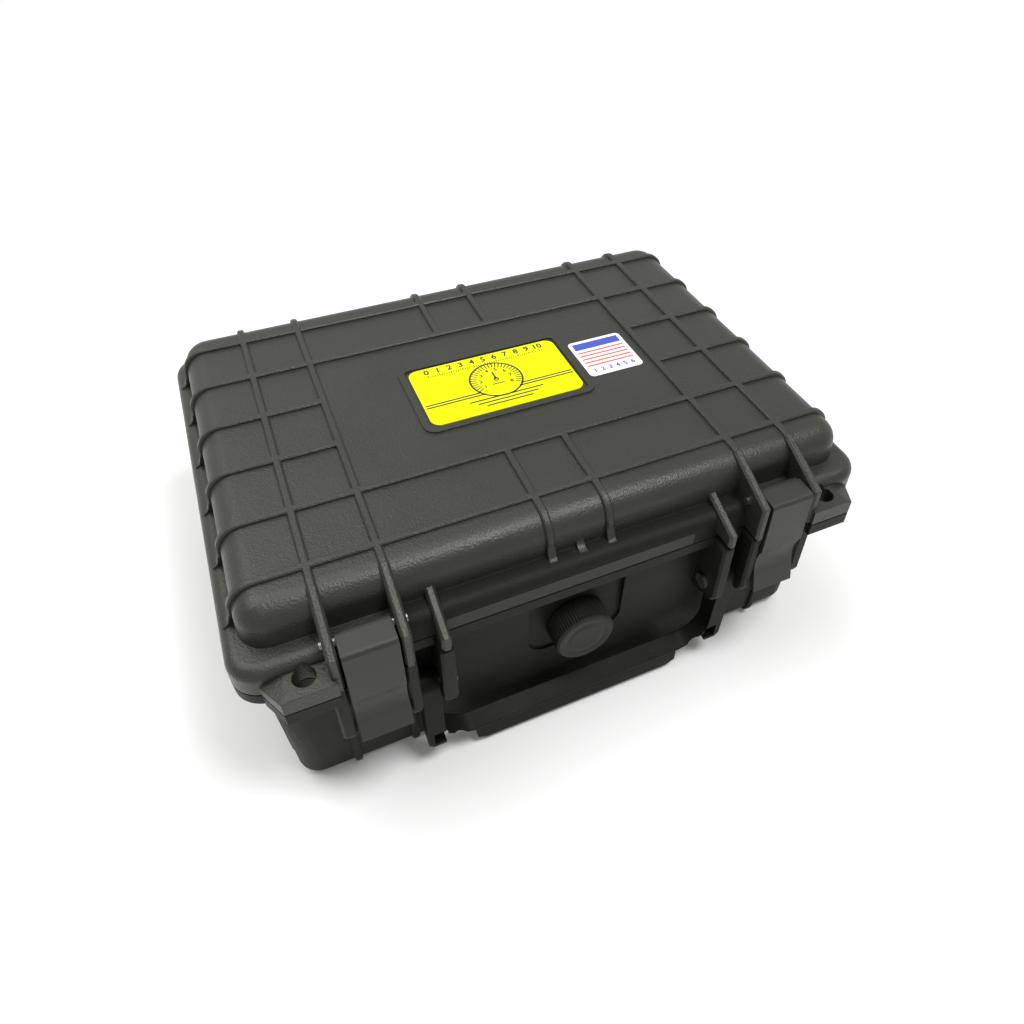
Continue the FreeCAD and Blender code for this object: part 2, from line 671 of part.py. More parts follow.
def base_webs():
    """Front webs of the base: latch cheeks and the handle's pivot cheeks."""
    low = BASE_RIM - BASE_WEB_DROP
    front = WEB_FRONT + 0.6
    inside = -BASE_Y + 5
    points = [(inside, BASE_RIM), (front, BASE_RIM), (front, low + BASE_WEB_ROUND),
              (front + BASE_WEB_ROUND * 0.3, low + BASE_WEB_ROUND * 0.3),
              (front + BASE_WEB_ROUND, low), (inside, low - BASE_WEB_ROUND)]
    outer_x = RIB_X_OUTER + (OUTER_WEB_WIDTH - BASE_WEB_WIDTH) / 2
    webs = [soft_web(points, RIB_X_MIDDLE, BASE_WEB_WIDTH), soft_web(points, outer_x, OUTER_WEB_WIDTH)]
    webs.append(soft_web(points, HANDLE_WEB_X, HANDLE_WEB_WIDTH))
    return both_sides(webs)


def panel_post_places():
    """Centres of the posts that carry the panel: four corners, and two along each long wall."""
    swing = (BASE_CORNER - WALL - POST_WALL_INSET) * math.sqrt(0.5)
    corner_x = BASE_X - BASE_CORNER + swing
    corner_y = BASE_Y - BASE_CORNER + swing
    wall_y = BASE_Y - WALL - POST_WALL_INSET
    places = []
    for side in (-1, 1):
        for end in (-1, 1):
            places.append((side * corner_x, end * corner_y))
            places.append((side * POST_MIDDLE_X, end * wall_y))
    return places


def in_walls(solid):
    """A tub as touching solids: front in seven parts, four of them round the valve's bore, back, ends and floor."""
    x = BASE_X - FLOOR_END_INSET
    y = BASE_Y - FLOOR_SIDE_INSET
    middle = HANDLE_WEB_X - HANDLE_WEB_WIDTH
    far = 2 * RIM_X
    areas = [block(-far, -middle, -far, -y, -far, far), block(middle, far, -far, -y, -far, far),
             block(-middle, 0, -far, -y, -far, VALVE_Z), block(0, middle, -far, -y, -far, VALVE_Z),
             block(-middle, 0, -far, -y, VALVE_Z, BAND_LOW), block(0, middle, -far, -y, VALVE_Z, BAND_LOW),
             block(-middle, middle, -far, -y, BAND_LOW, far),
             block(-far, far, y, far, -far, far), block(-far, -x, -y, y, -far, far),
             block(x, far, -y, y, -far, far), block(-x, x, -y, y, -far, far)]
    walls = []
    for area in areas:
        walls += solid.common(area).Solids
    return Part.makeCompound(walls)


def base_shell():
    """Moulded base: tub, rim band with its tongue, ears, webs, catches, posts and valve seat."""
    band = plate(RIM_X, RIM_Y, RIM_CORNER, BAND_LOW, BASE_RIM)
    band = band.makeFillet(BAND_EDGE, level_edges(band, BAND_LOW))
    inset = GROOVE_INSET + (GROOVE_WIDTH - TONGUE_WIDTH) / 2
    tongue = ring_plate(RIM_X - inset, RIM_Y - inset, RIM_CORNER - inset, TONGUE_WIDTH,
                        BASE_RIM - 1, GASKET_LOW - TONGUE_GAP)
    catch = block(RIB_X_MIDDLE, RIB_X_OUTER, -RIM_Y - CATCH_REACH, -BASE_Y, BAND_LOW, BASE_RIM)
    inner = HINGE_LUG_X - HINGE_LUG_WIDTH / 2 - HINGE_SIDE_GAP
    outer = HINGE_LUG_X + HINGE_LUG_WIDTH / 2 + HINGE_SIDE_GAP
    ears = [hinge_ear(inner - HINGE_EAR_WIDTH, inner), hinge_ear(outer, outer + HINGE_EAR_WIDTH)]
    shell = base_body(0, BASE_RIM)
    pieces = [band, tongue] + base_ribs() + base_webs()
    pieces += both_sides([ear(BAND_LOW, BASE_RIM), catch] + ears)
    solid = shell.fuse(pieces).cut(base_body(-WALL, BASE_RIM + GROOVE_DEPTH))

    posts = [post(POST_R, RIB_HEIGHT, PANEL_LOW, x, y).common(shell) for x, y in panel_post_places()]
    boss_x = VALVE_RECESS_LENGTH / 2 + VALVE_BOSS_MARGIN
    boss_z = VALVE_Z - VALVE_RECESS_DROP - VALVE_BOSS_MARGIN
    boss_top = PANEL_LOW - PANEL_GAP - 1.5
    boss = block(-boss_x, boss_x, -BASE_Y, VALVE_BACK_Y, boss_z, boss_top).common(shell)
    solid = solid.fuse(posts + [boss])

    recess_low = VALVE_Z - VALVE_RECESS_DROP
    recess_top = boss_top - VALVE_BOSS_MARGIN
    tall = recess_top - recess_low + 2 * VALVE_RECESS_CORNER
    recess = plate(VALVE_RECESS_LENGTH / 2, tall / 2, VALVE_RECESS_CORNER, 0, RIM_Y)
    recess = recess.rotated(Vector(0, 0, 0), AXIS_X, 90).translated(Vector(0, VALVE_SEAT_Y, recess_low + tall / 2))
    recess = recess.common(block(-RIM_X, RIM_X, -RIM_Y, VALVE_SEAT_Y, 0, recess_top))
    stem_bore = rod_y(VALVE_STEM_R + RUN_GAP, -RIM_Y, 0, 0, VALVE_Z)
    hinge_bore = rod_x(HINGE_PIN_R, HINGE_LUG_X - HINGE_EAR_OUT, HINGE_LUG_X + HINGE_EAR_OUT,
                       HINGE_Y, SEAM_HEIGHT)
    handle_bore = rod_x(HANDLE_PIN_R, HANDLE_WEB_X - HANDLE_WEB_WIDTH, RIB_X_MIDDLE + BASE_WEB_WIDTH,
                        HANDLE_PIVOT_Y, HANDLE_PIVOT_Z)
    cuts = [recess, stem_bore] + both_sides([padlock_hole(), hinge_bore, handle_bore])
    cuts += [post(SCREW_R, PANEL_LOW - SCREW_GRIP, PANEL_LOW + 1, x, y) for x, y in panel_post_places()]
    return in_walls(solid.cut(cuts).removeSplitter())


def hinge_pins():
    """Steel pins through the knuckles of both hinges."""
    pin = rod_x(HINGE_PIN_R, HINGE_LUG_X - HINGE_EAR_OUT, HINGE_LUG_X + HINGE_EAR_OUT, HINGE_Y, SEAM_HEIGHT)
    return Part.makeCompound(both_sides([pin]))


def handle_pins():
    """Headed steel pins of the handle, their heads on the inner faces of the handle webs."""
    inner = HANDLE_WEB_X - HANDLE_WEB_WIDTH / 2
    shank = rod_x(HANDLE_PIN_R, inner, RIB_X_MIDDLE + BASE_WEB_WIDTH / 2, HANDLE_PIVOT_Y, HANDLE_PIVOT_Z)
    head = rod_x(HANDLE_HEAD_R, inner - HANDLE_HEAD_TALL, inner, HANDLE_PIVOT_Y, HANDLE_PIVOT_Z)
    return Part.makeCompound(both_sides([shank.fuse(head).removeSplitter()]))


def handle():
    """Folding handle: two arms with notched feet, an arched cross bar, and the grip lip set back under it."""
    front = HANDLE_PIVOT_Y - HANDLE_FOOT_THICK / 2
    back = HANDLE_PIVOT_Y + HANDLE_FOOT_THICK / 2
    bar_low = HANDLE_LOW + 0.2
    arch_top = bar_low + HANDLE_ARCH
    side = [(HANDLE_PIVOT_Y - HANDLE_EYE_R, HANDLE_PIVOT_Z), (HANDLE_PIVOT_Y + HANDLE_EYE_R, HANDLE_PIVOT_Z),
            (back, HANDLE_LOW), (front, HANDLE_LOW)]
    profile = side_profile(side, -HANDLE_ARM_OUT, HANDLE_ARM_OUT)
    eyes = rod_x(HANDLE_EYE_R, -HANDLE_ARM_OUT, HANDLE_ARM_OUT, HANDLE_PIVOT_Y, HANDLE_PIVOT_Z)
    edge = HANDLE_FOOT_EDGE
    bounds = [(-HANDLE_ARM_OUT, HANDLE_LOW + edge), (-HANDLE_ARM_OUT + edge, HANDLE_LOW),
              (HANDLE_ARM_OUT - edge, HANDLE_LOW), (HANDLE_ARM_OUT, HANDLE_LOW + edge),
              (HANDLE_ARM_OUT, HANDLE_PIVOT_Z + 2 * HANDLE_EYE_R), (-HANDLE_ARM_OUT, HANDLE_PIVOT_Z + 2 * HANDLE_EYE_R)]
    solid = profile.fuse(eyes).common(front_profile(bounds, front - HANDLE_EYE_R, back + HANDLE_EYE_R))

    half = GRIP_LENGTH / 2
    under = [(-HANDLE_ARM_IN, HANDLE_LOW - 1), (-HANDLE_ARM_IN, arch_top), (-half - GRIP_BEVEL, bar_low + 1.2),
             (-half, bar_low), (half, bar_low), (half + GRIP_BEVEL, bar_low + 1.2), (HANDLE_ARM_IN, arch_top),
             (HANDLE_ARM_IN, HANDLE_LOW - 1)]
    run = 4 * HANDLE_EYE_R
    solid = solid.cut(front_profile(under, front - run, back + run))
    bar_top = bar_low + HANDLE_BAR_RISE
    tall = 2 * HANDLE_DROP
    gap = plate(HANDLE_ARM_IN, tall / 2, HANDLE_INNER_R, 0, 1)
    gap = gap.rotated(Vector(0, 0, 0), AXIS_X, 90)
    gap_face = max(gap.Faces, key=lambda face: face.CenterOfMass.y)
    gap_face = gap_face.translated(Vector(0, back + run / 4, bar_top + tall / 2 + HANDLE_BAR_SLOPE * run / 4))
    solid = solid.cut(gap_face.extrude(Vector(0, -run, -HANDLE_BAR_SLOPE * run)))

    low = bar_low - GRIP_DROP
    lip = [(-half, bar_low + 1), (-half, low + GRIP_BEVEL / 2), (-half + GRIP_BEVEL, low), (half - GRIP_BEVEL, low),
           (half, low + GRIP_BEVEL / 2), (half, bar_low + 1)]
    grip = front_profile(lip, front + GRIP_SETBACK, front + GRIP_SETBACK + GRIP_THICK)
    notch = block(HANDLE_ARM_IN - 1, HANDLE_ARM_IN + NOTCH_WIDTH, front - 2, front + NOTCH_DEEP,
                  HANDLE_LOW + NOTCH_FLOOR, HANDLE_LOW + NOTCH_FLOOR + NOTCH_TALL)
    bore = rod_x(HANDLE_PIN_R + RUN_GAP, HANDLE_ARM_IN - 1, HANDLE_ARM_OUT + 1,
                 HANDLE_PIVOT_Y, HANDLE_PIVOT_Z)
    return solid.fuse(grip).cut(both_sides([notch, bore])).removeSplitter()


def valve_knob():
    """Knurled valve cap: toothed rim, shallow dish in its face, socket for the stem, seal groove."""
    corners = []
    for step in range(2 * VALVE_KNURLS):
        radius = VALVE_KNOB_R - VALVE_KNURL_DEEP * (step % 2)
        angle = math.pi * step / VALVE_KNURLS
        corners.append((radius * math.cos(angle), VALVE_Z + radius * math.sin(angle)))
    solid = front_profile(corners, VALVE_FACE_Y, VALVE_KNOB_Y)
    rim = Part.makeCone(VALVE_KNOB_R - 1.2, VALVE_KNOB_R + VALVE_KNOB_TALL - 1.2, VALVE_KNOB_TALL,
                        Vector(0, VALVE_FACE_Y, VALVE_Z), AXIS_Y)
    dish = rod_y(VALVE_DISH_R, VALVE_FACE_Y - 1, VALVE_FACE_Y + VALVE_DISH_DEEP, 0, VALVE_Z)
    socket = rod_y(VALVE_STEM_R, VALVE_KNOB_Y - VALVE_STEM_GRIP, VALVE_KNOB_Y + 1, 0, VALVE_Z)
    room = SEAL_CORD_R + SEAL_GAP
    floor = VALVE_SEAT_Y - 2 * (SEAL_CORD_R + SEAL_GAP) - SEAL_GAP
    groove = rod_y(SEAL_RING_R + room, floor, VALVE_KNOB_Y + 1, 0, VALVE_Z)
    groove = groove.cut(rod_y(SEAL_RING_R - room, floor - 1, VALVE_KNOB_Y + 2, 0, VALVE_Z))
    return solid.common(rim).cut([dish, socket, groove])


def valve_seal():
    """Square-cord seal between the cap and its seat."""
    low = VALVE_SEAT_Y - SEAL_GAP - 2 * SEAL_CORD_R
    ring = rod_y(SEAL_RING_R + SEAL_CORD_R, low, VALVE_SEAT_Y - SEAL_GAP, 0, VALVE_Z)
    return ring.cut(rod_y(SEAL_RING_R - SEAL_CORD_R, low - 1, VALVE_SEAT_Y, 0, VALVE_Z))


def valve_stem():
    """Stem that carries the cap through the front wall."""
    inside = VALVE_BACK_Y + VALVE_LIFT + 2 * RUN_GAP + VALVE_COLLAR_TALL
    return rod_y(VALVE_STEM_R, VALVE_KNOB_Y - VALVE_STEM_GRIP, inside, 0, VALVE_Z)


def valve_collar():
    """Collar on the stem inside the case that stops the valve from being drawn out."""
    y = VALVE_BACK_Y + VALVE_LIFT + 2 * RUN_GAP
    collar = rod_y(VALVE_COLLAR_R, y, y + VALVE_COLLAR_TALL, 0, VALVE_Z)
    return collar.cut(rod_y(VALVE_STEM_R, y - 1, y + VALVE_COLLAR_TALL + 1, 0, VALVE_Z))


def jack_places():
    """Jack name, plug bore and place along Y."""
    return [("phones_jack", PHONES_BORE_R, -JACK_PITCH), ("mic_jack", MIC_BORE_R, 0.0),
            ("helmet_jack", HELMET_BORE_R, JACK_PITCH)]


def lamp_places():
    """Places of the lamps along Y."""
    return [-LAMP_PITCH, 0.0, LAMP_PITCH]


def panel_plate():
    """Aluminium panel let down inside the rim, drilled for all that it carries."""
    change = BASE_DRAFT * (PANEL_LOW - BAND_LOW) - WALL - PANEL_GAP
    solid = plate(BASE_X + change, BASE_Y + change, BASE_CORNER + change, PANEL_LOW, PANEL_TOP)
    low = PANEL_LOW - 1
    high = PANEL_TOP + 1
    holes = [post(SCREW_R + SCREW_HOLE_GAP, low, high, x, y) for x, y in panel_post_places()]
    holes += [post(JACK_BUSH_R, low, high, JACK_X, y) for name, bore, y in jack_places()]
    holes += [post(LAMP_LENS_R, low, high, LAMP_X, y) for y in lamp_places()]
    holes.append(post(CONTROL_BUSH_R, low, high, VOLUME_X, VOLUME_Y))
    holes.append(post(CONTROL_BUSH_R, low, high, MODE_X, MODE_Y))
    holes.append(post(POWER_BUSH_R, low, high, POWER_X, POWER_Y))
    holes.append(post(TALK_BUSH_R - 1, low, high, TALK_X, TALK_Y))
    return solid.cut(holes)


def headed_screw(x, y, seat, direction, grip):
    """Screw with a plain round head on seat and its shank running against direction."""
    axis = Vector(0, 0, direction)
    shank = Part.makeCylinder(SCREW_R, grip, Vector(x, y, seat), axis * -1)
    head = Part.makeCylinder(SCREW_HEAD_R, SCREW_HEAD_TALL, Vector(x, y, seat), axis)
    return shank.fuse(head).removeSplitter()


def panel_screws():
    """Screws that hold the panel on its posts."""
    grip = PANEL_THICK + SCREW_GRIP
    return Part.makeCompound([headed_screw(x, y, PANEL_TOP, 1, grip) for x, y in panel_post_places()])


def jack(bore_r, y):
    """Panel jack: threaded bush through the panel and a closed body under it."""
    low = PANEL_LOW - JACK_BODY_TALL
    body = post(JACK_BODY_R, low, PANEL_LOW, JACK_X, y)
    bush = post(JACK_BUSH_R, PANEL_LOW, PANEL_TOP + JACK_BUSH_TALL, JACK_X, y)
    bore = post(bore_r, low + JACK_END_WALL, PANEL_TOP + JACK_BUSH_TALL + 1, JACK_X, y)
    return body.fuse(bush).cut(bore).removeSplitter()


def jack_nuts():
    """Six-sided nuts that clamp the jacks to the panel."""
    nuts = []
    reach = JACK_NUT_FLATS / math.sqrt(3)
    for name, bore, y in jack_places():
        corners = [(JACK_X + reach * math.cos(math.radians(60 * k)), y + reach * math.sin(math.radians(60 * k)))
                   for k in range(6)]
        nut = plan_profile(corners, PANEL_TOP, PANEL_TOP + JACK_NUT_TALL)
        nuts.append(nut.cut(post(JACK_BUSH_R, PANEL_TOP - 1, PANEL_TOP + JACK_NUT_TALL + 1, JACK_X, y)))
    return Part.makeCompound(nuts)


def rotary_body(body_r, x, y):
    """Potentiometer or rotary switch: round body under the panel and its bush through it."""
    body = post(body_r, PANEL_LOW - CONTROL_DEPTH, PANEL_LOW, x, y)
    bush = post(CONTROL_BUSH_R, PANEL_LOW, PANEL_TOP + CONTROL_BUSH_TALL, x, y)
    bore = post(CONTROL_SHAFT_R + RUN_GAP, PANEL_LOW - CONTROL_DEPTH + CONTROL_SHAFT_FOOT - SIDE_PLAY,
                PANEL_TOP + CONTROL_BUSH_TALL + 1, x, y)
    return body.fuse(bush).cut(bore).removeSplitter()


def control_shaft(x, y):
    """Turning shaft of a rotary control."""
    low = PANEL_LOW - CONTROL_DEPTH + CONTROL_SHAFT_FOOT
    return post(CONTROL_SHAFT_R, low, PANEL_TOP + CONTROL_SHAFT_TALL, x, y)


def knob_hollow(x, y):
    """Space inside a knob: room for the bush, and the socket that grips the shaft."""
    low = PANEL_TOP + KNOB_LIFT
    room = post(CONTROL_BUSH_R + SIDE_PLAY, low - 1, PANEL_TOP + CONTROL_BUSH_TALL + SIDE_PLAY, x, y)
    return room.fuse(post(CONTROL_SHAFT_R, low, PANEL_TOP + CONTROL_SHAFT_TALL, x, y))


def volume_knob():
    """Round knob with scallops round its side and a pointer groove in its top."""
    low = PANEL_TOP + KNOB_LIFT
    high = PANEL_TOP + CONTROL_BUSH_TALL + VOLUME_KNOB_TALL
    solid = post(VOLUME_KNOB_R, low, high, VOLUME_X, VOLUME_Y)
    solid = solid.makeChamfer(1.0, level_edges(solid, high))
    cuts = [knob_hollow(VOLUME_X, VOLUME_Y)]
    for k in range(VOLUME_FLUTES):
        angle = 2 * math.pi * (k + 0.5) / VOLUME_FLUTES
        x = VOLUME_X + (VOLUME_KNOB_R + VOLUME_FLUTE_R * 0.4) * math.cos(angle)
        y = VOLUME_Y + (VOLUME_KNOB_R + VOLUME_FLUTE_R * 0.4) * math.sin(angle)
        cuts.append(post(VOLUME_FLUTE_R, low + 2, high + 1, x, y))
    cuts.append(block(VOLUME_X - 0.6, VOLUME_X + 0.6, VOLUME_Y, VOLUME_Y + VOLUME_KNOB_R, high - 0.5, high + 1))
    return solid.cut(cuts)


def mode_knob():
    """Pointer knob: round skirt with a raised bar across it."""
    low = PANEL_TOP + KNOB_LIFT
    high = PANEL_TOP + CONTROL_BUSH_TALL + MODE_KNOB_TALL
    skirt = post(MODE_SKIRT_R, low, low + MODE_SKIRT_TALL, MODE_X, MODE_Y)
    half = MODE_POINTER_WIDTH / 2
    bar = plan_profile([(MODE_X - half, MODE_Y - MODE_SKIRT_R), (MODE_X + half, MODE_Y - MODE_SKIRT_R),
                        (MODE_X + half, MODE_Y + MODE_SKIRT_R * 0.5), (MODE_X, MODE_Y + MODE_SKIRT_R),
                        (MODE_X - half, MODE_Y + MODE_SKIRT_R * 0.5)], low, high)
    core = post(CONTROL_BUSH_R + 3 * SIDE_PLAY, low, high - 3, MODE_X, MODE_Y)
    round_bar = bar.common(post(MODE_SKIRT_R, low, high, MODE_X, MODE_Y))
    return skirt.fuse([round_bar, core]).cut(knob_hollow(MODE_X, MODE_Y)).removeSplitter()


def power_switch():
    """Toggle switch: block under the panel, bush through it, well for the lever's cross pin."""
    body = block(POWER_X - POWER_BODY_WIDTH / 2, POWER_X + POWER_BODY_WIDTH / 2,
                 POWER_Y - POWER_BODY_LENGTH / 2, POWER_Y + POWER_BODY_LENGTH / 2,
                 PANEL_LOW - CONTROL_DEPTH, PANEL_LOW)
    high = PANEL_TOP + POWER_BUSH_TALL
    bush = post(POWER_BUSH_R, PANEL_LOW, high, POWER_X, POWER_Y)
    socket = post(POWER_BORE_R, POWER_PIVOT_Z - POWER_BORE_R, high + 1, POWER_X, POWER_Y)
    return body.fuse(bush).cut(socket).removeSplitter()


def power_lever():
    """Toggle lever on its cross pin, leaning to the off side."""
    half = POWER_PIVOT_LENGTH / 2
    pivot = rod_x(POWER_PIVOT_R, POWER_X - half, POWER_X + half, POWER_Y, POWER_PIVOT_Z)
    arm = Part.makeCone(POWER_LEVER_R, POWER_TIP_R, POWER_LEVER_TALL,
                        Vector(POWER_X, POWER_Y, POWER_PIVOT_Z), AXIS_Z)
    tip = Part.makeCone(POWER_TIP_R, POWER_TIP_R / 2, POWER_TIP_R / 2,
                        Vector(POWER_X, POWER_Y, POWER_PIVOT_Z + POWER_LEVER_TALL), AXIS_Z)
    lever = pivot.fuse([arm, tip]).removeSplitter()
    return lever.rotated(Vector(POWER_X, POWER_Y, POWER_PIVOT_Z), AXIS_X, POWER_TILT)


def talk_switch():
    """Push switch: flanged bush on the panel, body under it, well for the button."""
    low = PANEL_LOW - CONTROL_DEPTH
    high = PANEL_TOP + TALK_BUSH_TALL
    body = post(TALK_BUSH_R - 1, low, PANEL_TOP, TALK_X, TALK_Y)
    bush = post(TALK_BUSH_R, PANEL_TOP, high, TALK_X, TALK_Y)
    bush = bush.makeChamfer(0.8, level_edges(bush, high))
    well = post(TALK_BUTTON_R + TALK_PLAY, PANEL_LOW - TALK_TRAVEL - TALK_PLAY, high + 1, TALK_X, TALK_Y)
    return body.fuse(bush).cut(well).removeSplitter()


def talk_button():
    """Push button that slides in its bush."""
    high = PANEL_TOP + TALK_BUSH_TALL + TALK_RISE
    button = post(TALK_BUTTON_R, PANEL_LOW, high, TALK_X, TALK_Y)
    return button.makeChamfer(0.6, level_edges(button, high))


def lamp_bezels():
    """Rings round the panel lamps, with the lamp bodies under the panel."""
    bezels = []
    for y in lamp_places():
        ring = post(LAMP_BEZEL_R, PANEL_TOP, PANEL_TOP + LAMP_BEZEL_TALL, LAMP_X, y)
        ring = ring.makeChamfer(0.6, level_edges(ring, PANEL_TOP + LAMP_BEZEL_TALL))
        bezels.append(ring.cut(post(LAMP_LENS_R, PANEL_TOP - 1, PANEL_TOP + LAMP_BEZEL_TALL + 1, LAMP_X, y)))
    return Part.makeCompound(bezels)


def lamp_lenses():
    """Domed lamps that stand through the panel into their bezels."""
    lamps = []
    for y in lamp_places():
        high = PANEL_TOP + LAMP_BEZEL_TALL
        dome = Part.makeCone(LAMP_LENS_R, LAMP_LENS_R * 0.5, LAMP_LENS_R * 0.6, Vector(LAMP_X, y, high), AXIS_Z)
        lamps.append(post(LAMP_LENS_R, PANEL_LOW - LAMP_BODY_TALL, high, LAMP_X, y).fuse(dome).removeSplitter())
    return Part.makeCompound(lamps)


def standoff_places():
    """Corners of the board where the standoffs stand."""
    x = BOARD_LENGTH / 2 - BOARD_HOLE_MARGIN
    y = BOARD_WIDTH / 2 - BOARD_HOLE_MARGIN
    return [(x, y), (x, -y), (-x, y), (-x, -y)]


def circuit_board():
    """Board under the controls, with clearance holes for the jack bodies and the screws."""
    board = plate(BOARD_LENGTH / 2, BOARD_WIDTH / 2, 3.0, BOARD_LOW, BOARD_TOP)
    low = BOARD_LOW - 1
    high = BOARD_TOP + 1
    holes = [post(JACK_BODY_R + JACK_BOARD_GAP, low, high, JACK_X, y) for name, bore, y in jack_places()]
    holes += [post(SCREW_R + SCREW_HOLE_GAP, low, high, x, y) for x, y in standoff_places()]
    return board.cut(holes)


def board_standoffs():
    """Pillars between panel and board, tapped from below."""
    pillars = []
    for x, y in standoff_places():
        pillar = post(STANDOFF_R, BOARD_TOP, PANEL_LOW, x, y)
        pillars.append(pillar.cut(post(SCREW_R, BOARD_TOP - 1, BOARD_TOP + SCREW_GRIP, x, y)))
    return Part.makeCompound(pillars)


def board_screws():
    """Screws that hold the board to its pillars."""
    grip = BOARD_THICK + SCREW_GRIP
    return Part.makeCompound([headed_screw(x, y, BOARD_LOW, -1, grip) for x, y in standoff_places()])


def board_chips():
    """Amplifier chips on the underside of the board."""
    chips = []
    for k in (-1, 0, 1):
        y = k * CHIP_PITCH
        chips.append(block(CHIP_X - CHIP_LENGTH / 2, CHIP_X + CHIP_LENGTH / 2, y - CHIP_WIDTH / 2,
                           y + CHIP_WIDTH / 2, BOARD_LOW - CHIP_TALL, BOARD_LOW))
    return Part.makeCompound(chips)


def board_capacitors():
    """Electrolytic cans on the underside of the board."""
    return Part.makeCompound([post(CAN_R, BOARD_LOW - CAN_TALL, BOARD_LOW, CAN_X, k * CAN_PITCH)
                              for k in (-1.5, -0.5, 0.5, 1.5)])


def battery_holder():
    """Open tray under the board that clips round the battery's long sides."""
    half_x = BATTERY_LENGTH / 2 + TRAY_PLAY + TRAY_WALL
    half_y = BATTERY_WIDTH / 2 + TRAY_PLAY + TRAY_WALL
    low = BOARD_LOW - TRAY_WALL - TRAY_WALL_TALL
    tray = block(BATTERY_X - half_x, BATTERY_X + half_x, BATTERY_Y - half_y, BATTERY_Y + half_y, low, BOARD_LOW)
    well = block(BATTERY_X - half_x + TRAY_WALL, BATTERY_X + half_x - TRAY_WALL,
                 BATTERY_Y - half_y + TRAY_WALL, BATTERY_Y + half_y - TRAY_WALL, low - 1, BOARD_LOW - TRAY_WALL)
    return tray.cut(well)


def battery():
    """Flat block battery in its tray."""
    high = BOARD_LOW - TRAY_WALL
    cell = plate(BATTERY_LENGTH / 2, BATTERY_WIDTH / 2, 1.5, high - BATTERY_TALL, high, BATTERY_X, BATTERY_Y)
    return cell


def build():
    """Every node of the tester by name."""
    nodes = {
        "base_shell": base_shell(),
        "hinge_pins": hinge_pins(),
        "handle_pins": handle_pins(),
        "lid_shell": lid_shell(),
        "lid_gasket": lid_gasket(),
        "label_plate": label_plate(),
        "inspection_sticker": inspection_sticker(),
        "front_strip": front_strip(),
        "latch_pins": latch_pins(),
        "latch_right": latch_right(),
        "latch_left": mirrored(latch_right()),
        "handle": handle(),
        "valve_knob": valve_knob(),
        "valve_stem": valve_stem(),
        "valve_collar": valve_collar(),
        "valve_seal": valve_seal(),
        "panel_plate": panel_plate(),
        "panel_screws": panel_screws(),
        "jack_nuts": jack_nuts(),
        "volume_pot": rotary_body(POT_BODY_R, VOLUME_X, VOLUME_Y),
        "volume_shaft": control_shaft(VOLUME_X, VOLUME_Y),
        "volume_knob": volume_knob(),
        "mode_switch": rotary_body(MODE_BODY_R, MODE_X, MODE_Y),
        "mode_shaft": control_shaft(MODE_X, MODE_Y),
        "mode_knob": mode_knob(),
        "power_switch": power_switch(),
        "power_lever": power_lever(),
        "talk_switch": talk_switch(),
        "talk_button": talk_button(),
        "lamp_bezels": lamp_bezels(),
        "lamp_lenses": lamp_lenses(),
        "circuit_board": circuit_board(),
        "board_standoffs": board_standoffs(),
        "board_screws": board_screws(),
        "board_chips": board_chips(),
        "board_capacitors": board_capacitors(),
        "battery_holder": battery_holder(),
        "battery": battery(),
    }
    for name, bore_r, y in jack_places():
        nodes[name] = jack(bore_r, y)
    return nodes


os.makedirs("parts", exist_ok=True)
for node, shape in build().items():
    shape.exportStep(f"parts/{node}.step")
    box = shape.BoundBox
    print(node, len(shape.Solids), "valid" if shape.isValid() else "INVALID",
          [round(v, 1) for v in (box.XMin, box.XMax, box.YMin, box.YMax, box.ZMin, box.ZMax)])
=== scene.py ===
import json
import math

import bmesh
import bpy
from mathutils import Matrix, Vector


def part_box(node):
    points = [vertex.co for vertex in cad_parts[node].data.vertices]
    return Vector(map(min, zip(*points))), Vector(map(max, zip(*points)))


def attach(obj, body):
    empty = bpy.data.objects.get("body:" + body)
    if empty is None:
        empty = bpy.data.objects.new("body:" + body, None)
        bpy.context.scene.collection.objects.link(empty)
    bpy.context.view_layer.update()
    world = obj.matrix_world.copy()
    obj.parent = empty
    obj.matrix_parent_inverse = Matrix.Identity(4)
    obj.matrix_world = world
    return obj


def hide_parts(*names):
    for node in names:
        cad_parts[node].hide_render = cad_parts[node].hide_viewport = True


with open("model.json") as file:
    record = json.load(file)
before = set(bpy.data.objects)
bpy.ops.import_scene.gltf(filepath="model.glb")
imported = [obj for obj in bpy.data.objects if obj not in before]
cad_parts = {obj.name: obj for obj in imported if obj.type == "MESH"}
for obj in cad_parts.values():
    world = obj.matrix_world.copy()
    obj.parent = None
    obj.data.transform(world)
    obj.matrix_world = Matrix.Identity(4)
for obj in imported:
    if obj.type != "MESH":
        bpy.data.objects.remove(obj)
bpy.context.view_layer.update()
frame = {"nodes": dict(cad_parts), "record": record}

scene = bpy.context.scene
scene.view_settings.view_transform = "Standard"
MM = 0.001


# Studio. A pale paper sweep and a white surround, a wide soft lamp above and behind the case
# and a smaller one in front, so the black mouldings read by the sheen on their roundings.
def linear(hex_colour):
    """sRGB hex to the linear colour that a socket takes."""
    values = [int(hex_colour[i:i + 2], 16) / 255 for i in (1, 3, 5)]
    return [v / 12.92 if v <= 0.04045 else ((v + 0.055) / 1.055) ** 2.4 for v in values] + [1.0]


def add(tree, kind, links=None, **settings):
    """One node with its settings, and links from (node, output) to its inputs."""
    node = tree.nodes.new(kind)
    for name, value in settings.items():
        if hasattr(node, name):
            setattr(node, name, value)
        else:
            node.inputs[name.replace("_", " ")].default_value = value
    for socket, (source, output) in (links or {}).items():
        tree.links.new(source.outputs[output], node.inputs[socket])
    return node


def empty_tree(owner):
    """The node tree of a world or material, cleared."""
    owner.use_nodes = True
    owner.node_tree.nodes.clear()
    return owner.node_tree


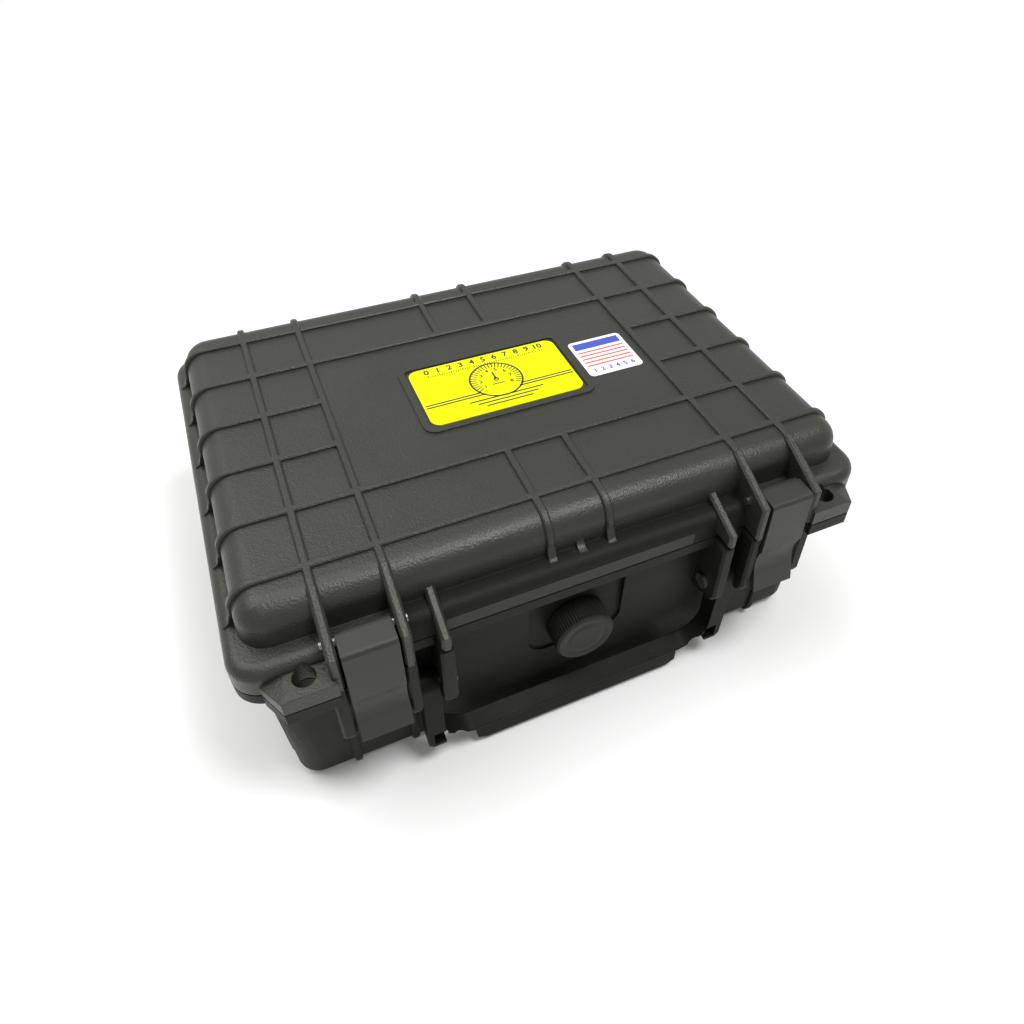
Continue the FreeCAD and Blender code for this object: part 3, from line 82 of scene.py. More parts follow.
def shown_ray(tree):
    """1 for rays from the camera, from gloss and through glass, else 0."""
    path = add(tree, "ShaderNodeLightPath")
    first = add(tree, "ShaderNodeMath", {0: (path, "Is Camera Ray"), 1: (path, "Is Glossy Ray")},
                operation="MAXIMUM")
    return add(tree, "ShaderNodeMath", {0: (first, 0), 1: (path, "Is Transmission Ray")},
               operation="MAXIMUM")


world = bpy.data.worlds.new("studio_surround")
scene.world = world
tree = empty_tree(world)
fill = add(tree, "ShaderNodeBackground", Color=linear("#f8f9f5"), Strength=0.42)
white = add(tree, "ShaderNodeBackground", Color=linear("#ffffff"), Strength=1.0)
surround = add(tree, "ShaderNodeMixShader", {0: (shown_ray(tree), 0), 1: (fill, 0), 2: (white, 0)})
add(tree, "ShaderNodeOutputWorld", {"Surface": (surround, 0)})

FLOOR_REACH = 6.0
PAPER_GLOW = 0.04
WHITE_FROM = 0.24
WHITE_BEYOND = 0.6
floor_mesh = bpy.data.meshes.new("floor")
floor_mesh.from_pydata([(-FLOOR_REACH, -FLOOR_REACH, 0), (FLOOR_REACH, -FLOOR_REACH, 0),
                        (FLOOR_REACH, FLOOR_REACH, 0), (-FLOOR_REACH, FLOOR_REACH, 0)], [], [(0, 1, 2, 3)])
floor = bpy.data.objects.new("floor", floor_mesh)
scene.collection.objects.link(floor)
sweep_paper = bpy.data.materials.new("white_sweep_paper")
tree = empty_tree(sweep_paper)
paper = add(tree, "ShaderNodeBsdfDiffuse", Color=linear("#e6e6e6"))
glow = add(tree, "ShaderNodeEmission", Color=linear("#ffffff"), Strength=PAPER_GLOW)
bright = add(tree, "ShaderNodeAddShader", {0: (paper, 0), 1: (glow, 0)})
spot = add(tree, "ShaderNodeTexCoord")
away = add(tree, "ShaderNodeVectorMath", {0: (spot, "Object")}, operation="LENGTH")
fade = add(tree, "ShaderNodeMapRange", {"Value": (away, "Value")}, interpolation_type="SMOOTHSTEP",
           From_Min=WHITE_FROM, From_Max=WHITE_BEYOND)
plain = add(tree, "ShaderNodeEmission", Color=linear("#ffffff"), Strength=1.0)
lit = add(tree, "ShaderNodeMixShader", {0: (fade, 0), 1: (bright, 0), 2: (plain, 0)})
sweep = add(tree, "ShaderNodeMixShader", {0: (shown_ray(tree), 0), 1: (paper, 0), 2: (lit, 0)})
add(tree, "ShaderNodeOutputMaterial", {"Surface": (sweep, 0)})
floor_mesh.materials.append(sweep_paper)


def soft_lamp(name, place, aim, size, watts):
    """Square area lamp turned towards a point."""
    lamp = bpy.data.lights.new(name, "AREA")
    lamp.size = size
    lamp.energy = watts
    holder = bpy.data.objects.new(name, lamp)
    holder.location = place
    holder.rotation_euler = (Vector(aim) - Vector(place)).to_track_quat("-Z", "Y").to_euler()
    scene.collection.objects.link(holder)


soft_lamp("overhead_softbox", place=(-0.45, 0.35, 1.25), aim=(0, 0, 0.05), size=1.1, watts=15)
soft_lamp("front_softbox", place=(0.27, -0.4, 1.15), aim=(0, -0.05, 0.08), size=0.35, watts=11)


# Camera. Its place and turn follow the photograph, solved on the crossings of the lid's ribs.
# The lens is a phone's wide one, taken close.
CAMERA_PLACE = Vector((-90.6, -247.0, 311.8)) * MM
CAMERA_TURN = math.radians(-24.967)
CAMERA_RISE = math.radians(41.408)
CAMERA_ROLL = math.radians(1.445)
IMAGE_SIDE = 1024
FOCAL_PIXELS = 803.1
AXIS_PIXEL = (548, 430)
back = Vector((math.sin(CAMERA_TURN) * math.cos(CAMERA_RISE),
               -math.cos(CAMERA_TURN) * math.cos(CAMERA_RISE), math.sin(CAMERA_RISE)))
level = Vector((0, 0, 1)).cross(back).normalized()
rise = back.cross(level)
right = math.cos(CAMERA_ROLL) * level + math.sin(CAMERA_ROLL) * rise
up = -math.sin(CAMERA_ROLL) * level + math.cos(CAMERA_ROLL) * rise
lens = bpy.data.cameras.new("photo_camera")
lens.sensor_width = 36
lens.lens = FOCAL_PIXELS * lens.sensor_width / IMAGE_SIDE
lens.shift_x = (IMAGE_SIDE / 2 - AXIS_PIXEL[0]) / IMAGE_SIDE
lens.shift_y = (AXIS_PIXEL[1] - IMAGE_SIDE / 2) / IMAGE_SIDE
lens.clip_start = 0.01
camera = bpy.data.objects.new("photo_camera", lens)
camera.matrix_world = Matrix((right, up, back)).transposed().to_4x4()
camera.location = CAMERA_PLACE
scene.collection.objects.link(camera)
scene.camera = camera


# Base shell. The lower half of the case is one polypropylene moulding with a spark-eroded grain,
# with soft edges where the mould was polished and a little dust in the grain.
body_of = {node: body for body, nodes in frame["record"]["behaviour"]["bodies"].items() for node in nodes}
SEAM_REACH = 0.002 * MM
SHARP_ANGLE = math.radians(35)


def plain_mesh(piece):
    """Plain mesh of what a piece's modifiers, or its letters, make."""
    bpy.context.view_layer.update()
    return bpy.data.meshes.new_from_object(piece.evaluated_get(bpy.context.evaluated_depsgraph_get()))


def settled(piece):
    """The piece with its modifiers turned into plain mesh."""
    shape = plain_mesh(piece)
    piece.modifiers.clear()
    piece.data = shape
    return piece


def piece_of(name, form):
    """Object in the scene whose mesh is a finished form."""
    mesh = bpy.data.meshes.new(name)
    form.to_mesh(mesh)
    form.free()
    piece = bpy.data.objects.new(name, mesh)
    scene.collection.objects.link(piece)
    return piece


def smooth_copy(node, inner_boxes=()):
    """Copy of a CAD node as one joined skin, smooth except at its real edges.

    Faces where the node's solids meet inside the wall are left out. They lie in flat boxes of two corners
    in mm, the same on both sides of the middle planes."""
    skin = bmesh.new()
    skin.from_mesh(frame["nodes"][node].data)
    bmesh.ops.remove_doubles(skin, verts=skin.verts, dist=SEAM_REACH)
    for low, high in inner_boxes:
        hidden = []
        for face in skin.faces:
            centre = face.calc_center_median()
            side = (math.copysign(1, centre.x), math.copysign(1, centre.y), 1)
            if all(low[k] * MM - SEAM_REACH < corner.co[k] * side[k] < high[k] * MM + SEAM_REACH
                   for corner in face.verts for k in range(3)):
                hidden.append(face)
        bmesh.ops.delete(skin, geom=hidden, context="FACES")
    for face in skin.faces:
        face.smooth = True
        face.material_index = 0
    for edge in skin.edges:
        if len(edge.link_faces) == 2 and edge.calc_face_angle(0) > SHARP_ANGLE:
            edge.smooth = False
    piece = piece_of(f"{node}_skin", skin)
    weigh = piece.modifiers.new("flat_faces_lead", "WEIGHTED_NORMAL")
    weigh.keep_sharp = True
    weigh.weight = 100
    return settled(piece)


def finish(piece, material, node, replace=True):
    """Material and body of a piece that stands for a CAD node, or lies on it."""
    piece.data.materials.clear()
    piece.data.materials.append(material)
    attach(piece, body_of[node])
    if replace:
        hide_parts(node)


def dress(material, *nodes):
    """Smooth skins in one material for CAD nodes whose shape is right."""
    for node in nodes:
        finish(smooth_copy(node), material, node)


def middle(node):
    """Middle of a node's box."""
    low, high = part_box(node)
    return (low + high) / 2


def plastic_tree(name, colour, worn_colour, cloud_mm):
    """Start of a moulded plastic: its tree, place, slow cloud of tone and colour."""
    material = bpy.data.materials.new(name)
    tree = empty_tree(material)
    place = add(tree, "ShaderNodeTexCoord")
    cloud = add(tree, "ShaderNodeTexNoise", {"Vector": (place, "Object")}, Scale=1 / (cloud_mm * MM),
                Detail=4.0, Roughness=0.55)
    tone = add(tree, "ShaderNodeMix", {0: (cloud, "Fac")}, data_type="RGBA")
    tone.inputs[6].default_value = linear(colour)
    tone.inputs[7].default_value = linear(worn_colour)
    return material, tree, place, cloud, tone


def grained_polypropylene(name, colour, worn_colour, rough, gloss, grain_mm, grain_lift, edge_mm):
    """Moulded polypropylene: near black and satin, with an etched leathery grain that breaks up the sheen.

    The grain is drawn coarser than the real 0.2 mm, so that it shows at the size of the picture."""
    material, tree, place, cloud, tone = plastic_tree(name, colour, worn_colour, cloud_mm=26)
    pebbles = add(tree, "ShaderNodeTexVoronoi", {"Vector": (place, "Object")}, feature="SMOOTH_F1",
                  Scale=1 / (1.7 * grain_mm * MM), Smoothness=0.6)
    pits = add(tree, "ShaderNodeTexNoise", {"Vector": (place, "Object")}, Scale=1 / (grain_mm * MM),
               Detail=3.0, Roughness=0.6)
    grain = add(tree, "ShaderNodeMath", {0: (pebbles, "Distance"), 1: (pits, "Fac")}, operation="ADD")
    specks = add(tree, "ShaderNodeTexVoronoi", {"Vector": (place, "Object")}, Scale=1 / (6.5 * MM))
    dust = add(tree, "ShaderNodeMapRange", {"Value": (specks, "Distance")}, From_Min=0.045, From_Max=0.02,
               To_Min=0.0, To_Max=0.16)
    dusty = add(tree, "ShaderNodeMix", {0: (dust, 0), 6: (tone, 2)}, data_type="RGBA")
    dusty.inputs[7].default_value = linear("#8a8880")
    satin = add(tree, "ShaderNodeMapRange", {"Value": (cloud, "Fac")}, From_Min=0.3, From_Max=0.7,
                To_Min=rough - 0.05, To_Max=rough + 0.06)
    edges = add(tree, "ShaderNodeBevel", samples=4, Radius=edge_mm * MM)
    bump = add(tree, "ShaderNodeBump", {"Height": (grain, 0), "Normal": (edges, 0)},
               Strength=grain_lift, Distance=0.12 * MM)
    shader = add(tree, "ShaderNodeBsdfPrincipled",
                 {"Base Color": (dusty, 2), "Roughness": (satin, 0), "Normal": (bump, 0)}, IOR=1.49)
    shader.inputs["Specular IOR Level"].default_value = gloss
    shader.inputs["Specular Tint"].default_value = linear("#eef0e2")
    add(tree, "ShaderNodeOutputMaterial", {"Surface": (shader, 0)})
    return material


base_plastic = grained_polypropylene("fine_grained_black_polypropylene", "#171915", "#1d1f1a", rough=0.46,
                                     gloss=0.11, grain_mm=0.5, grain_lift=0.35, edge_mm=0.45)
BEYOND_X = 125
BEYOND_Y = 110
BEYOND_Z = 90
FRONT_JOIN = 50.4
END_JOIN = 110
SIDE_JOIN = 71
BAND_JOIN = 75
BAND_BACK = 84
FRONT_FACE = 90
VALVE_JOIN = middle("valve_knob").z / MM
BASE_JOINS = [((FRONT_JOIN, 0, 0), (FRONT_JOIN, BEYOND_Y, BEYOND_Z)),
              ((END_JOIN, 0, 0), (END_JOIN, BEYOND_Y, BEYOND_Z)),
              ((0, SIDE_JOIN, 0), (BEYOND_X, SIDE_JOIN, BEYOND_Z)),
              ((0, SIDE_JOIN, BAND_JOIN), (FRONT_JOIN, BAND_BACK, BAND_JOIN)),
              ((0, SIDE_JOIN, 0), (0, FRONT_FACE, BAND_JOIN)),
              ((0, SIDE_JOIN, VALVE_JOIN), (FRONT_JOIN, FRONT_FACE, VALVE_JOIN))]
finish(smooth_copy("base_shell", inner_boxes=BASE_JOINS), base_plastic, "base_shell")


# Pins of hinges, handle and latches. Plain ground steel rod, pressed in and cut off square,
# bright, with the fine rings that the lathe tool leaves on the ends.
def turned_metal(name, colour, rough, ring_mm):
    """Bright metal off the lathe: full reflection, broken by tool rings and faint stains."""
    material = bpy.data.materials.new(name)
    tree = empty_tree(material)
    place = add(tree, "ShaderNodeTexCoord")
    rings = add(tree, "ShaderNodeTexWave", {"Vector": (place, "Object")}, Scale=1 / (ring_mm * MM),
                Distortion=1.5, Detail=2.0)
    stain = add(tree, "ShaderNodeTexNoise", {"Vector": (place, "Object")}, Scale=1 / (3 * MM), Detail=4.0)
    satin = add(tree, "ShaderNodeMapRange", {"Value": (stain, "Fac")}, From_Min=0.3, From_Max=0.7,
                To_Min=rough - 0.06, To_Max=rough + 0.1)
    bump = add(tree, "ShaderNodeBump", {"Height": (rings, "Fac")}, Strength=0.15, Distance=0.02 * MM)
    shader = add(tree, "ShaderNodeBsdfPrincipled", {"Roughness": (satin, 0), "Normal": (bump, 0)},
                 Base_Color=linear(colour), Metallic=1.0)
    add(tree, "ShaderNodeOutputMaterial", {"Surface": (shader, 0)})
    return material


ground_steel = turned_metal("ground_steel", "#8a8983", rough=0.34, ring_mm=0.35)
dress(ground_steel, "hinge_pins", "handle_pins", "latch_pins")


# Circuit board. Glass epoxy with green solder resist over copper tracks, on brass stand-offs,
# with epoxy-packed chips, sleeved capacitors and a battery in its moulded holder.
def solder_resist(name):
    """Green resist: glossy, lighter where it covers a copper track, with tinned round pads."""
    material = bpy.data.materials.new(name)
    tree = empty_tree(material)
    place = add(tree, "ShaderNodeTexCoord")
    tracks = add(tree, "ShaderNodeTexBrick", {"Vector": (place, "Object")}, Scale=1 / (9 * MM),
                 Mortar_Size=0.05, Color1=linear("#0f4a26"), Color2=linear("#125430"),
                 Mortar=linear("#2c7a48"))
    pads = add(tree, "ShaderNodeTexVoronoi", {"Vector": (place, "Object")}, Scale=1 / (5 * MM))
    pad = add(tree, "ShaderNodeMapRange", {"Value": (pads, "Distance")}, From_Min=0.16, From_Max=0.13)
    top = add(tree, "ShaderNodeMix", {0: (pad, 0), 6: (tracks, "Color")}, data_type="RGBA")
    top.inputs[7].default_value = linear("#b9bab2")
    bump = add(tree, "ShaderNodeBump", {"Height": (tracks, "Fac")}, Strength=0.3, Distance=0.05 * MM)
    shader = add(tree, "ShaderNodeBsdfPrincipled", {"Base Color": (top, 2), "Metallic": (pad, 0),
                                                    "Normal": (bump, 0)}, Roughness=0.3)
    add(tree, "ShaderNodeOutputMaterial", {"Surface": (shader, 0)})
    return material


def moulded_plastic(name, colour, worn_colour, rough, grain_mm, grain_lift, gloss=0.5):
    """Small moulding: even colour, a faint flow cloud and a fine skin that softens the gloss."""
    material, tree, place, cloud, tone = plastic_tree(name, colour, worn_colour, cloud_mm=9)
    skin = add(tree, "ShaderNodeTexNoise", {"Vector": (place, "Object")}, Scale=1 / (grain_mm * MM),
               Detail=3.0)
    satin = add(tree, "ShaderNodeMapRange", {"Value": (cloud, "Fac")}, From_Min=0.3, From_Max=0.7,
                To_Min=rough - 0.04, To_Max=rough + 0.06)
    bump = add(tree, "ShaderNodeBump", {"Height": (skin, "Fac")}, Strength=grain_lift, Distance=0.05 * MM)
    shader = add(tree, "ShaderNodeBsdfPrincipled",
                 {"Base Color": (tone, 2), "Roughness": (satin, 0), "Normal": (bump, 0)}, IOR=1.5,
                 Specular_IOR_Level=gloss)
    add(tree, "ShaderNodeOutputMaterial", {"Surface": (shader, 0)})
    return material


epoxy_pack = moulded_plastic("black_epoxy_pack", "#17181a", "#202124", rough=0.55, grain_mm=0.15,
                             grain_lift=0.4)
sleeve = moulded_plastic("shrunk_pvc_sleeve", "#1d2432", "#28303f", rough=0.3, grain_mm=0.8,
                         grain_lift=0.15)
brass = turned_metal("turned_brass", "#c8a25a", rough=0.25, ring_mm=0.3)
dress(solder_resist("green_solder_resist"), "circuit_board")
dress(brass, "board_standoffs")
dress(epoxy_pack, "board_chips", "battery_holder")
dress(sleeve, "board_capacitors", "battery")
dress(ground_steel, "board_screws")


# Control panel. Sheet aluminium with a satin black powder coat, let down inside the rim and printed
# in white: dial scales, the numbers of the sockets, the switch's two words and plain rules.
PANEL_INK = 0.06 * MM
RING_STEPS = 72
panel_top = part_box("panel_plate")[1].z


def powder_coat(name, colour, worn_colour):
    """Powder coat: satin, with the shallow orange peel that the melted powder leaves."""
    material, tree, place, cloud, tone = plastic_tree(name, colour, worn_colour, cloud_mm=40)
    peel = add(tree, "ShaderNodeTexVoronoi", {"Vector": (place, "Object")}, feature="SMOOTH_F1",
               Scale=1 / (1.1 * MM), Smoothness=1.0)
    bump = add(tree, "ShaderNodeBump", {"Height": (peel, "Distance")}, Strength=0.3, Distance=0.1 * MM)
    shader = add(tree, "ShaderNodeBsdfPrincipled", {"Base Color": (tone, 2), "Normal": (bump, 0)},
                 Roughness=0.42)
    add(tree, "ShaderNodeOutputMaterial", {"Surface": (shader, 0)})
    return material


def printing_ink(name, colour, thin_colour):
    """Screen-printed ink: an even film that is a little thinner in places."""
    material, tree, place, cloud, tone = plastic_tree(name, colour, thin_colour, cloud_mm=2.5)
    shader = add(tree, "ShaderNodeBsdfPrincipled", {"Base Color": (tone, 2)}, Roughness=0.38)
    add(tree, "ShaderNodeOutputMaterial", {"Surface": (shader, 0)})
    return material


def circle(form, radius, height, steps):
    """Ring of vertices round Z."""
    turn = 2 * math.pi / steps
    return [form.verts.new((radius * math.cos(turn * k), radius * math.sin(turn * k), height))
            for k in range(steps)]


def join_rings(form, rings):
    """Faces between rings of vertices that follow each other."""
    for low, high in zip(rings, rings[1:]):
        for k in range(len(low)):
            form.faces.new((low[k - 1], low[k], high[k], high[k - 1]))


def printed(name, top, words=(), bars=(), rings=(), bold=0.0):
    """Ink on a level face at height top, in mm: words (text, size, x, y), bars (x0, y0, x1, y1)
    and rings (x, y, radius, width), joined in one closed thin mesh. Bold is a share of a word's size."""
    sheet = bmesh.new()
    for text, size, x, y in words:
        letters = bpy.data.curves.new("letters", "FONT")
        letters.body = text
        letters.size = size * MM
        letters.offset = size * bold * MM
        letters.align_x = "CENTER"
        letters.align_y = "CENTER"
        letters.extrude = PANEL_INK / 2
        letters.resolution_u = 3
        holder = bpy.data.objects.new("letters", letters)
        scene.collection.objects.link(holder)
        flat = plain_mesh(holder)
        flat.transform(Matrix.Translation((x * MM, y * MM, top)))
        sheet.from_mesh(flat)
        bpy.data.objects.remove(holder)
    for x0, y0, x1, y1 in bars:
        place = Matrix.Translation(((x0 + x1) / 2 * MM, (y0 + y1) / 2 * MM, top))
        size = Matrix.Diagonal((abs(x1 - x0) * MM, abs(y1 - y0) * MM, PANEL_INK, 1))
        bmesh.ops.create_cube(sheet, size=1, matrix=place @ size)
    for x, y, radius, width in rings:
        outer = radius + width
        loops = [circle(sheet, edge * MM, side * PANEL_INK / 2, RING_STEPS)
                 for edge, side in ((radius, -1), (outer, -1), (outer, 1), (radius, 1))]
        for vertex in [vertex for loop in loops for vertex in loop]:
            vertex.co += Vector((x * MM, y * MM, top))
        join_rings(sheet, loops + loops[:1])
    bmesh.ops.recalc_face_normals(sheet, faces=sheet.faces)
    return piece_of(name, sheet)


def ring_tree():
    """Geometry Nodes: copies of one shape round an axis, each at the same reach."""
    tree = bpy.data.node_groups.new("copies_round_an_axis", "GeometryNodeTree")
    tree.interface.new_socket("Geometry", in_out="OUTPUT", socket_type="NodeSocketGeometry")
    for title, kind in (("Count", "Int"), ("Start", "Float"), ("Step", "Float"), ("Reach", "Float"),
                        ("Shape", "Object"), ("Tilt", "Vector"), ("Centre", "Vector"),
                        ("Material", "Material")):
        tree.interface.new_socket(title, in_out="INPUT", socket_type=f"NodeSocket{kind}")
    entry = add(tree, "NodeGroupInput")
    points = add(tree, "GeometryNodePoints", {"Count": (entry, "Count")})
    shape = add(tree, "GeometryNodeObjectInfo", {"Object": (entry, "Shape")})
    reach = add(tree, "ShaderNodeCombineXYZ", {"X": (entry, "Reach")})
    moved = add(tree, "GeometryNodeTransform", {"Geometry": (shape, "Geometry"), "Translation": (reach, 0)})
    index = add(tree, "GeometryNodeInputIndex")
    swing = add(tree, "ShaderNodeMath", {0: (index, 0), 1: (entry, "Step"), 2: (entry, "Start")},
                operation="MULTIPLY_ADD")
    turn = add(tree, "ShaderNodeCombineXYZ", {"Z": (swing, 0)})
    spread = add(tree, "GeometryNodeInstanceOnPoints",
                 {"Points": (points, 0), "Instance": (moved, 0), "Rotation": (turn, 0)})
    joined = add(tree, "GeometryNodeRealizeInstances", {"Geometry": (spread, 0)})
    placed = add(tree, "GeometryNodeTransform",
                 {"Geometry": (joined, 0), "Rotation": (entry, "Tilt"), "Translation": (entry, "Centre")})
    painted = add(tree, "GeometryNodeSetMaterial",
                  {"Geometry": (placed, 0), "Material": (entry, "Material")})
    add(tree, "NodeGroupOutput", {"Geometry": (painted, 0)})
    return tree


def grown(name, tree, values, points=()):
    """Plain mesh piece that a Geometry Nodes tree makes from its named inputs."""
    mesh = bpy.data.meshes.new(name)
    mesh.from_pydata(points, [], [])
    piece = bpy.data.objects.new(name, mesh)
    scene.collection.objects.link(piece)
    maker = piece.modifiers.new("maker", "NODES")
    maker.node_group = tree
    for item in tree.interface.items_tree:
        if item.in_out == "INPUT" and item.name in values:
            maker[item.identifier] = values[item.name]
    return settled(piece)


def shape_object(name, fill):
    """Object whose mesh fill(form) makes."""
    form = bmesh.new()
    fill(form)
    return piece_of(name, form)


panel_coat = powder_coat("satin_black_powder_coat", "#232427", "#292a2d")
white_ink = printing_ink("white_screen_ink", "#d8d8d2", "#c4c4be")
dress(panel_coat, "panel_plate")

copies_round_an_axis = ring_tree()
TICK_LENGTH = 2.6 * MM
TICK_WIDTH = 0.5 * MM
FIGURE_TALL = 4.0


def fill_tick(form):
    """Short printed stroke that points outwards."""
    bmesh.ops.create_cube(form, size=1, matrix=Matrix.Diagonal((TICK_LENGTH, TICK_WIDTH, PANEL_INK, 1)))


def dial(name, node, count, first_degrees, sweep_degrees, reach_mm, numbers, number_mm):
    """Printed scale round a knob, clockwise from its first mark, with its numbers outside."""
    spot = middle(node)
    step = -math.radians(sweep_degrees) / (count - 1)
    tick = shape_object("tick", fill_tick)
    ticks = grown(f"{name}_ticks", copies_round_an_axis,
                  {"Count": count, "Start": math.radians(first_degrees), "Step": step,
                   "Reach": reach_mm * MM, "Shape": tick, "Tilt": (0, 0, 0),
                   "Centre": (spot.x, spot.y, panel_top), "Material": white_ink})
    bpy.data.objects.remove(tick)
    finish(ticks, white_ink, "panel_plate", replace=False)
    words = []
    for k in range(count):
        angle = math.radians(first_degrees) + step * k
        words.append((str(numbers[k]), FIGURE_TALL, spot.x / MM + number_mm * math.cos(angle),
                      spot.y / MM + number_mm * math.sin(angle)))
    figures = printed(f"{name}_figures", panel_top, words=words)
    finish(figures, white_ink, "panel_plate", replace=False)


dial("volume_scale", "volume_knob", count=11, first_degrees=240, sweep_degrees=300, reach_mm=13.2,
     numbers=range(11), number_mm=17.8)
dial("mode_scale", "mode_knob", count=5, first_degrees=90, sweep_degrees=120, reach_mm=15.2,
     numbers=range(1, 6), number_mm=19.6)
SOCKET_FIGURE = 6.0
SOCKET_FIGURE_SHIFT = 16
WORD_TALL = 4.4
WORD_SHIFT = 14
socket_words = []
for figure, node in enumerate(("phones_jack", "mic_jack", "helmet_jack"), 1):
    spot = middle(node) / MM
    socket_words.append((str(figure), SOCKET_FIGURE, spot.x - SOCKET_FIGURE_SHIFT, spot.y))
lever_spot = middle("power_switch") / MM
switch_words = [("ON", WORD_TALL, lever_spot.x, lever_spot.y + WORD_SHIFT),
                ("OFF", WORD_TALL, lever_spot.x, lever_spot.y - WORD_SHIFT)]
RULE = 0.6
RULE_X = 98.0
RULE_Y = 70.0
DIVIDER_X = -50.0
DIVIDER_Y = 60.0
frame_bars = [(-RULE_X, RULE_Y, RULE_X, RULE_Y + RULE), (-RULE_X, -RULE_Y - RULE, RULE_X, -RULE_Y),
              (DIVIDER_X, -DIVIDER_Y, DIVIDER_X + RULE, DIVIDER_Y)]
finish(printed("panel_words", panel_top, socket_words + switch_words, frame_bars), white_ink,
       "panel_plate", replace=False)


# Panel screws. Pan heads of bright plated steel with a six-sided socket, one in each post.
# All are the same screw, so one head is copied to every place.
HEAD_RADIUS = 2.8 * MM
HEAD_TALL = 1.8 * MM
SOCKET_FLATS = 2.5 * MM
SOCKET_DEEP = 1.1 * MM
HEAD_STEPS = 24


def fill_head(form):
    """Domed head with a six-sided socket, standing on its seat."""
    rings = []
    outline = [(HEAD_RADIUS, 0), (HEAD_RADIUS, 0.55 * HEAD_TALL), (0.86 * HEAD_RADIUS, 0.88 * HEAD_TALL),
               (0.62 * HEAD_RADIUS, HEAD_TALL), (0, HEAD_TALL), (0, HEAD_TALL - SOCKET_DEEP)]
    for radius, height in outline:
        ring = []
        for k in range(HEAD_STEPS):
            angle = 2 * math.pi * k / HEAD_STEPS
            flat = (angle + math.pi / 6) % (math.pi / 3) - math.pi / 6
            reach = radius or SOCKET_FLATS / 2 / math.cos(flat)
            ring.append(form.verts.new((reach * math.cos(angle), reach * math.sin(angle), height)))
        rings.append(ring)
    join_rings(form, rings)
    form.faces.new(rings[-1])
    form.faces.new(list(reversed(rings[0])))
    bmesh.ops.recalc_face_normals(form, faces=form.faces)


def places_tree():
    """Geometry Nodes: one shape copied to every point of the piece."""
    tree = bpy.data.node_groups.new("copies_at_points", "GeometryNodeTree")
    tree.interface.new_socket("Geometry", in_out="OUTPUT", socket_type="NodeSocketGeometry")
    tree.interface.new_socket("Geometry", in_out="INPUT", socket_type="NodeSocketGeometry")
    tree.interface.new_socket("Shape", in_out="INPUT", socket_type="NodeSocketObject")
    tree.interface.new_socket("Material", in_out="INPUT", socket_type="NodeSocketMaterial")
    entry = add(tree, "NodeGroupInput")
    shape = add(tree, "GeometryNodeObjectInfo", {"Object": (entry, "Shape")})
    spread = add(tree, "GeometryNodeInstanceOnPoints",
                 {"Points": (entry, "Geometry"), "Instance": (shape, "Geometry")})
    joined = add(tree, "GeometryNodeRealizeInstances", {"Geometry": (spread, 0)})
    painted = add(tree, "GeometryNodeSetMaterial",
                  {"Geometry": (joined, 0), "Material": (entry, "Material")})
    add(tree, "NodeGroupOutput", {"Geometry": (painted, 0)})
    return tree


POST_MIDDLE_X = 40 * MM
CORNER_SHIFT = 32.2 * MM
screw_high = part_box("panel_screws")[1]
corner_x = screw_high.x - HEAD_RADIUS
wall_y = screw_high.y - HEAD_RADIUS
screw_places = []
for end in (-1, 1):
    for side in (-1, 1):
        screw_places.append((end * corner_x, side * (corner_x - CORNER_SHIFT), panel_top))
        screw_places.append((end * POST_MIDDLE_X, side * wall_y, panel_top))
plated_steel = turned_metal("zinc_plated_steel", "#b9bcc0", rough=0.3, ring_mm=0.4)
screw_head = shape_object("screw_head", fill_head)
heads = grown("panel_screw_heads", places_tree(), {"Shape": screw_head, "Material": plated_steel},
              screw_places)
bpy.data.objects.remove(screw_head)
finish(heads, plated_steel, "panel_screws")


# Sockets, controls and lamps. Nylon jack bodies under plated nuts, drawn metal cans for the rotary
# parts, ABS knobs with a white index line, a plated lever, a red button and clear tinted lamps.
nylon = moulded_plastic("black_nylon", "#1c1d1e", "#242526", rough=0.45, grain_mm=0.3, grain_lift=0.2)
drawn_can = turned_metal("drawn_aluminium_can", "#a9abad", rough=0.38, ring_mm=0.8)
knob_abs = moulded_plastic("black_abs", "#161718", "#1d1e1f", rough=0.28, grain_mm=0.5,
                           grain_lift=0.12)
button_abs = moulded_plastic("red_abs", "#9c1512", "#a81b16", rough=0.22, grain_mm=0.6,
                             grain_lift=0.08)
dress(nylon, "phones_jack", "mic_jack", "helmet_jack", "talk_switch")
dress(drawn_can, "volume_pot", "mode_switch", "power_switch")
dress(plated_steel, "jack_nuts", "volume_shaft", "mode_shaft", "power_lever", "lamp_bezels")
dress(knob_abs, "volume_knob", "mode_knob")
dress(button_abs, "talk_button")


def lamp_lens(name, colour):
    """Tinted polycarbonate: clear, with a faint flow in its tint."""
    material, tree, place, cloud, tone = plastic_tree(name, colour, "#48c85a", cloud_mm=2)
    shader = add(tree, "ShaderNodeBsdfPrincipled", {"Base Color": (tone, 2)}, Roughness=0.12, IOR=1.58)
    shader.inputs["Transmission Weight"].default_value = 0.6
    add(tree, "ShaderNodeOutputMaterial", {"Surface": (shader, 0)})
    return material


